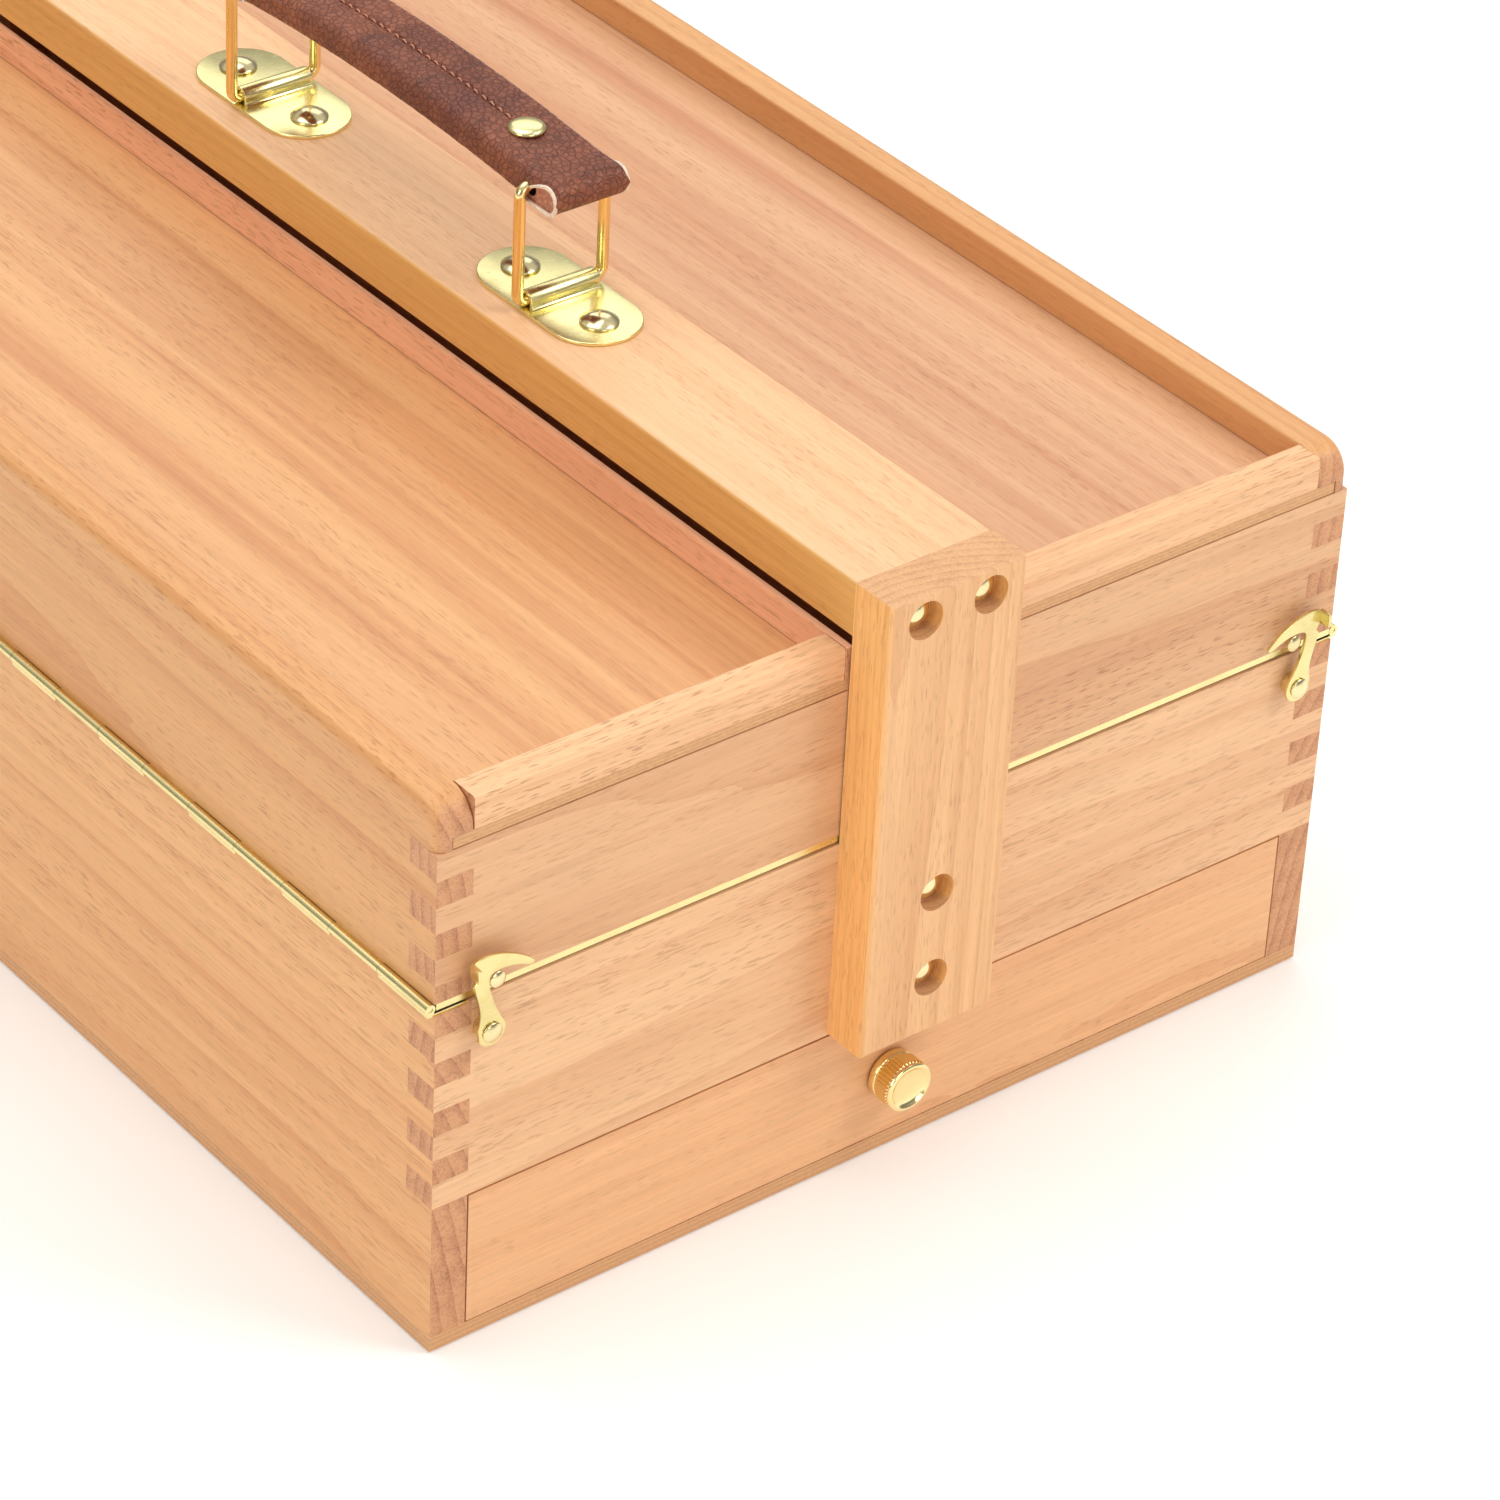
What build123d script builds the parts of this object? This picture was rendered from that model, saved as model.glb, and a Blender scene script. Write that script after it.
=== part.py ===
from build123d import *
import os

"""Beech carrying box: a lower case with a drawer and a deep compartment, two
fold-out upper trays with sliding lids, and a leather handle on a centre rail.

Units are millimetres.  +Z is up, the drawer face looks along -Y, left is -X,
and the origin is the centre of the case's underside.  Left and front pieces are
modelled; their right and back twins are mirrored from them.
"""

os.makedirs("parts", exist_ok=True)

# ================================================================ shared helpers

UPWARD = (Align.CENTER, Align.CENTER, Align.MIN)
DOWNWARD = (Align.CENTER, Align.CENTER, Align.MAX)


def upright(y):
    """Plane at depth y that looks to the front: a negative extrude runs to +Y."""
    return Plane.XZ.offset(-y)


def aimed(x, y, z, way):
    """Plane at a point whose normal runs along Y, forwards for way -1, back for 1."""
    return Plane(origin=(x, y, z), x_dir=(1, 0, 0), z_dir=(0, way, 0))


def span(x0, x1, y0, y1, mode=Mode.ADD):
    """Add to the current sketch a rectangle given by its edges."""
    with Locations(((x0 + x1) / 2, (y0 + y1) / 2)):
        Rectangle(x1 - x0, y1 - y0, mode=mode)


def cut_rows(x0, x1, rows):
    """Cut finger sockets, one for each (bottom, top) row, from the current sketch."""
    for bottom, top in rows:
        span(x0, x1, bottom, top, Mode.SUBTRACT)


def every_other(edges, start):
    """(bottom, top) of every second row between the edges, from row start."""
    return list(zip(edges, edges[1:]))[start::2]


def cross_screw(shank_r, shank_l, head):
    """Add a screw to the current part: head above the origin, shank below it."""
    rim_r, rim_h, crown_r, crown_h, slot_l, slot_w, slot_d = head
    Cylinder(shank_r, shank_l, align=DOWNWARD)
    Cylinder(rim_r, rim_h, align=UPWARD)
    with Locations((0, 0, rim_h)):
        Cone(rim_r, crown_r, crown_h, align=UPWARD)
    with Locations((0, 0, rim_h + crown_h)):
        Box(slot_l, slot_w, slot_d, align=DOWNWARD, mode=Mode.SUBTRACT)
        Box(slot_w, slot_l, slot_d, align=DOWNWARD, mode=Mode.SUBTRACT)


def save(name, part):
    part.label = name
    export_step(part, f"parts/{name}.step")


def save_pair(pattern, part, sides, about):
    """Save the part under the first side's name and its mirror under the second's."""
    save(pattern.format(sides[0]), part)
    with BuildPart() as twin:
        mirror(part, about=about)
    save(pattern.format(sides[1]), twin.part)


# ================================================================ main dimensions

CASE_W = 270.0          # outside width (X)
CASE_L = 400.0          # outside length (Y)
CASE_TOP = 97.6         # top edge of the lower case
HALF_W = CASE_W / 2
HALF_L = CASE_L / 2
WALL = 10.0             # board thickness
BOTTOM_T = 4.0          # plywood bottom, full footprint
BAY_TOP = 42.0          # underside of the front panel, top of the drawer bay
FLOOR_T = 4.0           # compartment floor
GROOVE_D = 4.0          # depth of the grooves that hold panels

# finger joints, counted upwards
FRONT_ROW_COUNT = 8
BACK_ROW_COUNT = 13
FINGER_H = (CASE_TOP - BAY_TOP) / FRONT_ROW_COUNT
BACK_FINGER_H = (CASE_TOP - BOTTOM_T) / BACK_ROW_COUNT
FRONT_EDGES = [BAY_TOP + i * FINGER_H for i in range(FRONT_ROW_COUNT + 1)]
BACK_EDGES = [BOTTOM_T + i * BACK_FINGER_H for i in range(BACK_ROW_COUNT + 1)]

# screws; holes run a little deeper than their screws
HOLE_SPARE = 0.2
SCREW_R = 1.7
SCREW_HOLE_R = 1.75
TOP_SCREWS = [(-9.6, 163.0), (9.6, 163.0)]      # (x, z), post into rail
LOW_SCREWS = [(0.0, 83.4), (0.0, 58.7)]         # (x, z), post into case
TOP_REACH = 16.0
LOW_REACH = 8.0
CATCH_SCREW_R = 1.2     # the small screws of the hook catches
CATCH_HOLE_R = 1.25
CATCH_REACH = 8.0

# screw heads: rim radius and height, crown radius and height,
# recess length, width and depth
POST_HEAD = (4.2, 1.5, 2.9, 1.0, 4.2, 0.9, 1.5)
HANDLE_HEAD = (4.9, 1.2, 3.3, 1.2, 5.2, 1.1, 1.7)
KNOB_HEAD = (3.8, 1.4, 2.6, 1.0, 4.4, 0.9, 1.4)
CATCH_HEAD = (2.25, 0.6, 1.5, 0.6, 2.4, 0.5, 0.7)
HOOK_HEAD = (2.6, 0.7, 1.7, 0.8, 2.8, 0.6, 0.9)

# places shared by several pieces
HOOK_X = 121.9
HOOK_Z = 89.5
LEAF_T = 0.7            # hinge leaf
LEAF_W = 9.0
RAIL_TOP = 170.0
HANDLE_Y = 61.0         # each handle plate sits this far from the middle
PLATE_SCREW_Y = 16.0    # plate screws, either side of the plate's middle
PLATE_SCREW_REACH = 10.0
PLATE_SCREWS = [(0, s * HANDLE_Y + t * PLATE_SCREW_Y) for s in (-1, 1) for t in (-1, 1)]
HOOK_SPOTS = [(-HOOK_X, HOOK_Z), (HOOK_X, HOOK_Z)]

# ================================================================ lower case


def bottom_panel():
    """Plywood bottom; it carries the walls and shows as a thin edge all round."""
    with BuildPart() as panel:
        with BuildSketch(Plane.XY):
            Rectangle(CASE_W, CASE_L)
        extrude(amount=BOTTOM_T)
    return panel.part


def side_panel():
    """Left wall: sockets at both ends, floor groove, rebate for the hinge leaf."""
    with BuildPart() as panel:
        with BuildSketch(Plane.YZ.offset(-HALF_W)):
            span(-HALF_L, HALF_L, BOTTOM_T, CASE_TOP)
            cut_rows(-HALF_L, -HALF_L + WALL, every_other(FRONT_EDGES, 0))
            cut_rows(HALF_L - WALL, HALF_L, every_other(BACK_EDGES, 0))
        extrude(amount=WALL)
        with BuildSketch(Plane.YZ.offset(-HALF_W + WALL)):
            span(-HALF_L + WALL, HALF_L - WALL, BAY_TOP, BAY_TOP + FLOOR_T)
        extrude(amount=-GROOVE_D, mode=Mode.SUBTRACT)
        with BuildSketch(upright(-HALF_L)):
            span(-HALF_W, -HALF_W + LEAF_W, CASE_TOP - LEAF_T, CASE_TOP)
        extrude(amount=-CASE_L, mode=Mode.SUBTRACT)
    return panel.part


def front_panel():
    """Fixed front above the drawer, finger-jointed to the sides."""
    with BuildPart() as panel:
        with BuildSketch(upright(-HALF_L)):
            span(-HALF_W, HALF_W, BAY_TOP, CASE_TOP)
            for x in (-HALF_W, HALF_W - WALL):
                cut_rows(x, x + WALL, every_other(FRONT_EDGES, 1))
        extrude(amount=-WALL)
        with BuildSketch(upright(-HALF_L + WALL)):
            span(-HALF_W + WALL, HALF_W - WALL, BAY_TOP, BAY_TOP + FLOOR_T)
        extrude(amount=GROOVE_D, mode=Mode.SUBTRACT)
        with BuildSketch(upright(-HALF_L)):
            with Locations(*LOW_SCREWS):
                Circle(SCREW_HOLE_R)
        extrude(amount=-(LOW_REACH + HOLE_SPARE), mode=Mode.SUBTRACT)
        with BuildSketch(upright(-HALF_L)):
            with Locations(*HOOK_SPOTS):
                Circle(CATCH_HOLE_R)
        extrude(amount=-(CATCH_REACH + HOLE_SPARE), mode=Mode.SUBTRACT)
    return panel.part


def back_panel():
    """Full-height back, rebated at its top corners for the hinge leaves."""
    with BuildPart() as panel:
        with BuildSketch(upright(HALF_L - WALL)):
            span(-HALF_W, HALF_W, BOTTOM_T, CASE_TOP)
            for x in (-HALF_W, HALF_W - WALL):
                cut_rows(x, x + WALL, every_other(BACK_EDGES, 1))
            for x in (-HALF_W, HALF_W - LEAF_W):
                span(x, x + LEAF_W, CASE_TOP - LEAF_T, CASE_TOP, Mode.SUBTRACT)
        extrude(amount=-WALL)
        with BuildSketch(upright(HALF_L - WALL)):
            span(-HALF_W + WALL, HALF_W - WALL, BAY_TOP, BAY_TOP + FLOOR_T)
        extrude(amount=-GROOVE_D, mode=Mode.SUBTRACT)
        with BuildSketch(upright(HALF_L)):
            with Locations(*LOW_SCREWS):
                Circle(SCREW_HOLE_R)
        extrude(amount=LOW_REACH + HOLE_SPARE, mode=Mode.SUBTRACT)
    return panel.part


def compartment_floor():
    """Floor housed in grooves on all four sides; the ceiling of the drawer bay."""
    inside_w = CASE_W - 2 * WALL
    inside_l = CASE_L - 2 * WALL
    with BuildPart() as floor:
        with BuildSketch(Plane.XY.offset(BAY_TOP)):
            Rectangle(inside_w + 2 * GROOVE_D, inside_l)
            Rectangle(inside_w, inside_l + 2 * GROOVE_D)
        extrude(amount=FLOOR_T)
    return floor.part


# ================================================================ posts and rail

POST_W = 40.0
POST_T = 13.0
POST_BOTTOM = 42.7
POST_CHAMFER = 0.8
BORE_R = 5.0            # counterbores in the posts
BORE_D = 4.6
RAIL_T = 15.0
RAIL_ROUND = 1.0


def post():
    """Front post: chamfered outer face with four counterbored screw holes."""
    with BuildPart() as upright_post:
        with BuildSketch(upright(-HALF_L)):
            span(-POST_W / 2, POST_W / 2, POST_BOTTOM, RAIL_TOP)
        extrude(amount=POST_T)
        chamfer(upright_post.edges().group_by(Axis.Y)[0], POST_CHAMFER)
        with Locations(*[aimed(x, -HALF_L - POST_T, z, -1) for x, z in TOP_SCREWS + LOW_SCREWS]):
            CounterBoreHole(radius=SCREW_HOLE_R, counter_bore_radius=BORE_R,
                            counter_bore_depth=BORE_D, depth=POST_T)
    return upright_post.part


def centre_rail():
    """Rail between the post tops, drilled at both ends and for the handle plates."""
    end_depth = TOP_REACH + HOLE_SPARE
    with BuildPart() as rail:
        with BuildSketch(upright(-HALF_L)):
            span(-POST_W / 2, POST_W / 2, RAIL_TOP - RAIL_T, RAIL_TOP)
        extrude(amount=-CASE_L)
        fillet(rail.edges().filter_by(Axis.Y), RAIL_ROUND)
        for side in (-1, 1):
            with BuildSketch(upright(side * HALF_L)):
                with Locations(*TOP_SCREWS):
                    Circle(SCREW_HOLE_R)
            extrude(amount=side * end_depth, mode=Mode.SUBTRACT)
        with BuildSketch(Plane.XY.offset(RAIL_TOP)):
            with Locations(*PLATE_SCREWS):
                Circle(SCREW_HOLE_R)
        extrude(amount=-(PLATE_SCREW_REACH + HOLE_SPARE), mode=Mode.SUBTRACT)
    return rail.part


def post_screws():
    """Eight cross-recess screws sunk in the counterbores of both posts."""
    seat = POST_T - BORE_D
    with BuildPart() as screws:
        for side in (-1, 1):
            for spots, reach in ((TOP_SCREWS, TOP_REACH), (LOW_SCREWS, LOW_REACH)):
                for x, z in spots:
                    with Locations(aimed(x, side * (HALF_L + seat), z, side)):
                        cross_screw(SCREW_R, seat + reach, POST_HEAD)
    return screws.part


# ================================================================ upper tray dimensions

TRAY_HALF_L = 199.6     # half length, just inside the posts
TRAY_OUT = 135.0        # outer face
TRAY_IN = 14.5          # channel-side face, under the rail
INNER_T = 6.5           # thickness of the inner long wall
INSIDE_OUT = TRAY_OUT - WALL        # inside face of the outer long wall
INSIDE_IN = TRAY_IN + INNER_T       # inside face of the inner long wall
TRAY_BASE = 100.0       # top of the brass base plate
TRAY_TOP = 152.4
TRAY_FRONT_TOP = 140.4  # front wall stops under the lid
PLATE_T = 1.7
PLATE_OUT = TRAY_OUT - 0.5          # outer edge of the base plate
LIP_NOSE_R = 8.0        # front end of the outer wall's lip
LIP_OUTER_R = 3.0
LIP_INNER_R = 0.8

LID_T = 3.0
LID_Z = 140.7
LID_BACK = 194.0
LID_FRONT = -TRAY_HALF_L + 0.2
LID_GROOVE_Z0 = 140.5
LID_GROOVE_Z1 = 143.9
LID_GROOVE_D = 5.9
LID_GROOVE_BACK = LID_BACK + 0.2
INNER_GROOVE_D = 1.0    # shallow, so that the lid's edge passes the post
LID_PLAY_OUT = 0.3      # between lid edge and groove, outer side
LID_PLAY_IN = 0.2       # the same, inner side
PULL_H = 8.5
PULL_D = 8.4
PULL_ROUND = 1.0
PULL_OUT = INSIDE_OUT - 0.1
PULL_IN = INSIDE_IN + 0.2

# finger rows, the lowest one shorter than the rest
TRAY_ROW_H = 7.1
TRAY_EDGES = [TRAY_BASE] + [LID_GROOVE_Z0 - n * TRAY_ROW_H for n in range(5, -1, -1)]
LONG_WALL_ROWS = every_other(TRAY_EDGES, 0)
END_WALL_ROWS = every_other(TRAY_EDGES, 1)

# (x, z) of the wedge taken off the channel side so that it swings clear of the rail
SWING_BEVEL = [(-19.78, 153.6), (-14.02, 153.6), (-14.02, 139.2), (-19.78, 153.6)]
BEVEL_OVERRUN = 1.0     # past both ends of the tray

CATCH_X = 120.5
CATCH_Z = 102.9
CATCH_NECK = 1.6        # bare shank between the tray and the screw head

# ================================================================ hinges

HINGE_X = 136.0         # pin centre, just outside the side walls
HINGE_Z = 98.9
KNUCKLE_R = 1.35
PIN_R = 0.6
PIN_HOLE_R = 0.65
PIN_END_GAP = 0.2
KNUCKLES = 21
KNUCKLE_PITCH = 2 * TRAY_HALF_L / KNUCKLES
KNUCKLE_GAP = 0.1
KNUCKLE_L = KNUCKLE_PITCH - KNUCKLE_GAP
LEAF_WEB_W = 1.8        # web that joins the leaf to its knuckles
LEAF_WEB_H = 1.7

# front ends of the knuckles, which alternate between case and tray
KNUCKLE_Y = [-TRAY_HALF_L + i * KNUCKLE_PITCH + KNUCKLE_GAP / 2 for i in range(KNUCKLES)]
CASE_KNUCKLES = KNUCKLE_Y[0::2]
TRAY_KNUCKLES = KNUCKLE_Y[1::2]


def hinge_leaf():
    """Fixed left leaf in the rebate of the side wall, with its knuckles."""
    leaf_low = CASE_TOP - LEAF_T
    with BuildPart() as leaf:
        with BuildSketch(upright(-TRAY_HALF_L)):
            span(-HALF_W, -HALF_W + LEAF_W, leaf_low, CASE_TOP)
        extrude(amount=-2 * TRAY_HALF_L)
        with BuildSketch(*[upright(y) for y in CASE_KNUCKLES]):
            with Locations((-HINGE_X, HINGE_Z)):
                Circle(KNUCKLE_R)
            span(-HALF_W - LEAF_WEB_W, -HALF_W, leaf_low, leaf_low + LEAF_WEB_H)
        extrude(amount=-KNUCKLE_L)
        with BuildSketch(upright(-TRAY_HALF_L)):
            with Locations((-HINGE_X, HINGE_Z)):
                Circle(PIN_HOLE_R)
        extrude(amount=-2 * TRAY_HALF_L, mode=Mode.SUBTRACT)
    return leaf.part


def hinge_pin():
    half_length = TRAY_HALF_L - PIN_END_GAP
    with BuildPart() as pin:
        with BuildSketch(upright(-half_length)):
            with Locations((-HINGE_X, HINGE_Z)):
                Circle(PIN_R)
        extrude(amount=-2 * half_length)
    return pin.part


# ================================================================ upper trays


def swing_bevel():
    """Sketch of the bevel wedge, just in front of the tray."""
    with BuildSketch(upright(-TRAY_HALF_L - BEVEL_OVERRUN)) as wedge:
        with BuildLine():
            Polyline(*SWING_BEVEL)
        make_face()
    return wedge.sketch


BEVEL_LENGTH = 2 * (TRAY_HALF_L + BEVEL_OVERRUN)


def tray_outer_wall():
    """Outer long wall, with a rounded lip and a groove for the sliding lid."""
    with BuildPart() as wall:
        with BuildSketch(Plane.YZ.offset(-TRAY_OUT)):
            span(-TRAY_HALF_L, TRAY_HALF_L, TRAY_BASE, TRAY_TOP)
            for y in (-TRAY_HALF_L, TRAY_HALF_L - WALL):
                cut_rows(y, y + WALL, END_WALL_ROWS)
        extrude(amount=WALL)
        # front end of the lip, then its outer and inner long edges
        fillet(wall.edges().filter_by(Axis.X).group_by(Axis.Z)[-1].sort_by(Axis.Y)[0],
               LIP_NOSE_R)
        fillet(wall.edges().filter_by(Axis.Y).group_by(Axis.Z)[-1].sort_by(Axis.X)[0],
               LIP_OUTER_R)
        fillet(wall.edges().filter_by(Axis.Y).group_by(Axis.Z)[-1].sort_by(Axis.X)[-1],
               LIP_INNER_R)
        with BuildSketch(upright(-TRAY_HALF_L)):
            span(-INSIDE_OUT - LID_GROOVE_D, -INSIDE_OUT, LID_GROOVE_Z0, LID_GROOVE_Z1)
        extrude(amount=-(TRAY_HALF_L + LID_GROOVE_BACK), mode=Mode.SUBTRACT)
    return wall.part


def tray_inner_wall():
    """Inner long wall under the rail's edge; it butts against the front wall."""
    bevel = swing_bevel()
    with BuildPart() as wall:
        with BuildSketch(Plane.YZ.offset(-INSIDE_IN)):
            span(-TRAY_HALF_L, TRAY_HALF_L, TRAY_BASE, TRAY_TOP)
            cut_rows(TRAY_HALF_L - WALL, TRAY_HALF_L, END_WALL_ROWS)
            cut_rows(-TRAY_HALF_L, -TRAY_HALF_L + WALL, [(TRAY_BASE, LID_GROOVE_Z0)])
        extrude(amount=INNER_T)
        extrude(bevel, amount=-BEVEL_LENGTH, mode=Mode.SUBTRACT)
        with BuildSketch(upright(-TRAY_HALF_L)):
            span(-INSIDE_IN, -INSIDE_IN + INNER_GROOVE_D, LID_GROOVE_Z0, LID_GROOVE_Z1)
        extrude(amount=-(TRAY_HALF_L + LID_GROOVE_BACK), mode=Mode.SUBTRACT)
    return wall.part


def tray_front_wall():
    """Front wall below the lid, with the hole for the catch screw."""
    with BuildPart() as wall:
        with BuildSketch(upright(-TRAY_HALF_L)):
            span(-TRAY_OUT, -TRAY_IN, TRAY_BASE, TRAY_FRONT_TOP)
            cut_rows(-TRAY_OUT, -INSIDE_OUT, LONG_WALL_ROWS)
        extrude(amount=-WALL)
        with BuildSketch(upright(-TRAY_HALF_L)):
            with Locations((-CATCH_X, CATCH_Z)):
                Circle(CATCH_HOLE_R)
        extrude(amount=-(CATCH_REACH + HOLE_SPARE), mode=Mode.SUBTRACT)
    return wall.part


def tray_back_wall():
    """Full-height back wall; above the fingers it fits between the long walls."""
    bevel = swing_bevel()
    rows = LONG_WALL_ROWS + [(LID_GROOVE_Z0, TRAY_TOP)]
    with BuildPart() as wall:
        with BuildSketch(upright(TRAY_HALF_L - WALL)):
            span(-TRAY_OUT, -TRAY_IN, TRAY_BASE, TRAY_TOP)
            cut_rows(-TRAY_OUT, -INSIDE_OUT, rows)
            cut_rows(-INSIDE_IN, -TRAY_IN, rows)
        extrude(amount=-WALL)
        extrude(bevel, amount=-BEVEL_LENGTH, mode=Mode.SUBTRACT)
        with BuildSketch(upright(TRAY_HALF_L - WALL)):
            span(-INSIDE_OUT, -INSIDE_IN, LID_GROOVE_Z0, LID_GROOVE_Z1)
        extrude(amount=-(LID_GROOVE_BACK - TRAY_HALF_L + WALL), mode=Mode.SUBTRACT)
    return wall.part


def tray_base_plate():
    """Brass base plate; its outer edge is rolled into the moving hinge knuckles."""
    with BuildPart() as plate:
        with BuildSketch(Plane.XY.offset(TRAY_BASE - PLATE_T)):
            span(-PLATE_OUT, -TRAY_IN, -TRAY_HALF_L, TRAY_HALF_L)
        extrude(amount=PLATE_T)
        with BuildSketch(*[upright(y) for y in TRAY_KNUCKLES]):
            with Locations((-HINGE_X, HINGE_Z)):
                Circle(KNUCKLE_R)
            span(-HINGE_X, -PLATE_OUT, TRAY_BASE - PLATE_T, TRAY_BASE)
        extrude(amount=-KNUCKLE_L)
        with BuildSketch(upright(-TRAY_HALF_L)):
            with Locations((-HINGE_X, HINGE_Z)):
                Circle(PIN_HOLE_R)
        extrude(amount=-2 * TRAY_HALF_L, mode=Mode.SUBTRACT)
    return plate.part


def catch_screw():
    """Round-head screw that the hook catches on."""
    with BuildPart() as screw:
        with Locations(aimed(-CATCH_X, -TRAY_HALF_L - CATCH_NECK, CATCH_Z, -1)):
            cross_screw(CATCH_SCREW_R, CATCH_NECK + CATCH_REACH, CATCH_HEAD)
    return screw.part


def lid_panel():
    """Thin sliding panel that runs in the grooves."""
    with BuildPart() as panel:
        with BuildSketch(Plane.XY.offset(LID_Z)):
            span(-INSIDE_OUT - LID_GROOVE_D + LID_PLAY_OUT,
                 -INSIDE_IN + INNER_GROOVE_D - LID_PLAY_IN, LID_FRONT, LID_BACK)
        extrude(amount=LID_T)
    return panel.part


def lid_pull():
    """Square bar across the front of the lid."""
    lid_top = LID_Z + LID_T
    with BuildPart() as pull:
        with BuildSketch(Plane.YZ.offset(-PULL_OUT)):
            span(LID_FRONT, LID_FRONT + PULL_D, lid_top, lid_top + PULL_H)
        extrude(amount=PULL_OUT - PULL_IN)
        fillet(pull.edges().filter_by(Axis.X).group_by(Axis.Z)[-1], PULL_ROUND)
    return pull.part


# ================================================================ drawer

DRAWER_HALF_W = 124.6   # drawer front
DRAWER_Z0 = 4.4
DRAWER_Z1 = 41.4
DRAWER_SIDE_OUT = 124.4
DRAWER_SIDE_T = 8.0
DRAWER_SIDE_IN = DRAWER_SIDE_OUT - DRAWER_SIDE_T
DRAWER_SIDE_TOP = 39.0
DRAWER_SIDE_FRONT = -HALF_L + WALL
DRAWER_BACK = 184.0
DRAWER_BOTTOM_Z = 8.0
DRAWER_BOTTOM_T = 3.0
DRAWER_BOTTOM_TOP = DRAWER_BOTTOM_Z + DRAWER_BOTTOM_T
DRAWER_BOTTOM_HALF_W = DRAWER_SIDE_OUT - GROOVE_D

KNOB_Z = 22.9
KNOB_R = 6.75
KNOB_PROUD = 8.8
KNOB_SCREW_R = 2.0
KNOB_HOLE_R = 2.05
KNOB_REACH = 6.0        # screw length inside the knob

# (distance out from the drawer face, radius)
KNOB_PROFILE = [
    (0, 0), (0, 4.6), (1.2, 4.6), (2.0, 6.15), (2.6, KNOB_R),
    (KNOB_PROUD - 0.7, KNOB_R), (KNOB_PROUD, KNOB_R - 0.7), (KNOB_PROUD, 5.4),
    (KNOB_PROUD - 0.5, 5.0), (KNOB_PROUD - 0.7, 0),
]


def drawer_front():
    """Front board with the knob's screw hole and a groove for the bottom."""
    with BuildPart() as board:
        with BuildSketch(upright(-HALF_L)):
            span(-DRAWER_HALF_W, DRAWER_HALF_W, DRAWER_Z0, DRAWER_Z1)
            with Locations((0, KNOB_Z)):
                Circle(KNOB_HOLE_R, mode=Mode.SUBTRACT)
        extrude(amount=-WALL)
        with BuildSketch(upright(DRAWER_SIDE_FRONT)):
            span(-DRAWER_BOTTOM_HALF_W, DRAWER_BOTTOM_HALF_W, DRAWER_BOTTOM_Z, DRAWER_BOTTOM_TOP)
        extrude(amount=GROOVE_D, mode=Mode.SUBTRACT)
    return board.part


def drawer_side():
    """Left side, grooved for the bottom."""
    with BuildPart() as board:
        with BuildSketch(Plane.YZ.offset(-DRAWER_SIDE_OUT)):
            span(DRAWER_SIDE_FRONT, DRAWER_BACK, DRAWER_Z0, DRAWER_SIDE_TOP)
        extrude(amount=DRAWER_SIDE_T)
        with BuildSketch(Plane.YZ.offset(-DRAWER_SIDE_IN)):
            span(DRAWER_SIDE_FRONT, DRAWER_BACK, DRAWER_BOTTOM_Z, DRAWER_BOTTOM_TOP)
        extrude(amount=-GROOVE_D, mode=Mode.SUBTRACT)
    return board.part


def drawer_back():
    """Back board between the sides, standing on the bottom."""
    with BuildPart() as board:
        with BuildSketch(Plane.XY.offset(DRAWER_BOTTOM_TOP)):
            span(-DRAWER_SIDE_IN, DRAWER_SIDE_IN, DRAWER_BACK - DRAWER_SIDE_T, DRAWER_BACK)
        extrude(amount=DRAWER_SIDE_TOP - DRAWER_BOTTOM_TOP)
    return board.part


def drawer_bottom():
    with BuildPart() as board:
        with BuildSketch(Plane.XY.offset(DRAWER_BOTTOM_Z)):
            span(-DRAWER_BOTTOM_HALF_W, DRAWER_BOTTOM_HALF_W,
                 DRAWER_SIDE_FRONT - GROOVE_D, DRAWER_BACK)
        extrude(amount=DRAWER_BOTTOM_T)
    return board.part


def drawer_knob():
    """Turned brass knob: short neck, broad body, dished face with a raised rim."""
    with BuildPart() as knob:
        with BuildSketch(Plane.YZ):
            with BuildLine():
                Polyline(*[(-HALF_L - out, KNOB_Z + radius) for out, radius in KNOB_PROFILE],
                         close=True)
            make_face()
        revolve(axis=Axis((0, 0, KNOB_Z), (0, 1, 0)))
        with BuildSketch(upright(-HALF_L)):
            with Locations((0, KNOB_Z)):
                Circle(KNOB_HOLE_R)
        extrude(amount=KNOB_REACH + HOLE_SPARE, mode=Mode.SUBTRACT)
    return knob.part


def knob_screw():
    """Machine screw through the drawer front into the knob, head inside."""
    with BuildPart() as screw:
        with Locations(aimed(0, -HALF_L + WALL, KNOB_Z, 1)):
            cross_screw(KNOB_SCREW_R, WALL + KNOB_REACH, KNOB_HEAD)
    return screw.part


# ================================================================ hook catches

SPACER_R = 2.75
SPACER_T = 2.55
HOOK_GAP = 0.05         # between hook and spacer, and hook and screw head
HOOK_T = 1.0
HOOK_BACK = SPACER_T + HOOK_GAP             # distance out from the case front
HOOK_SEAT = HOOK_BACK + HOOK_T + HOOK_GAP   # underside of the screw head
HOOK_EYE_R = 3.9
HOOK_HOLE_R = 1.28
TAB_D = 4.2             # how far the thumb tab stands forward

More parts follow.
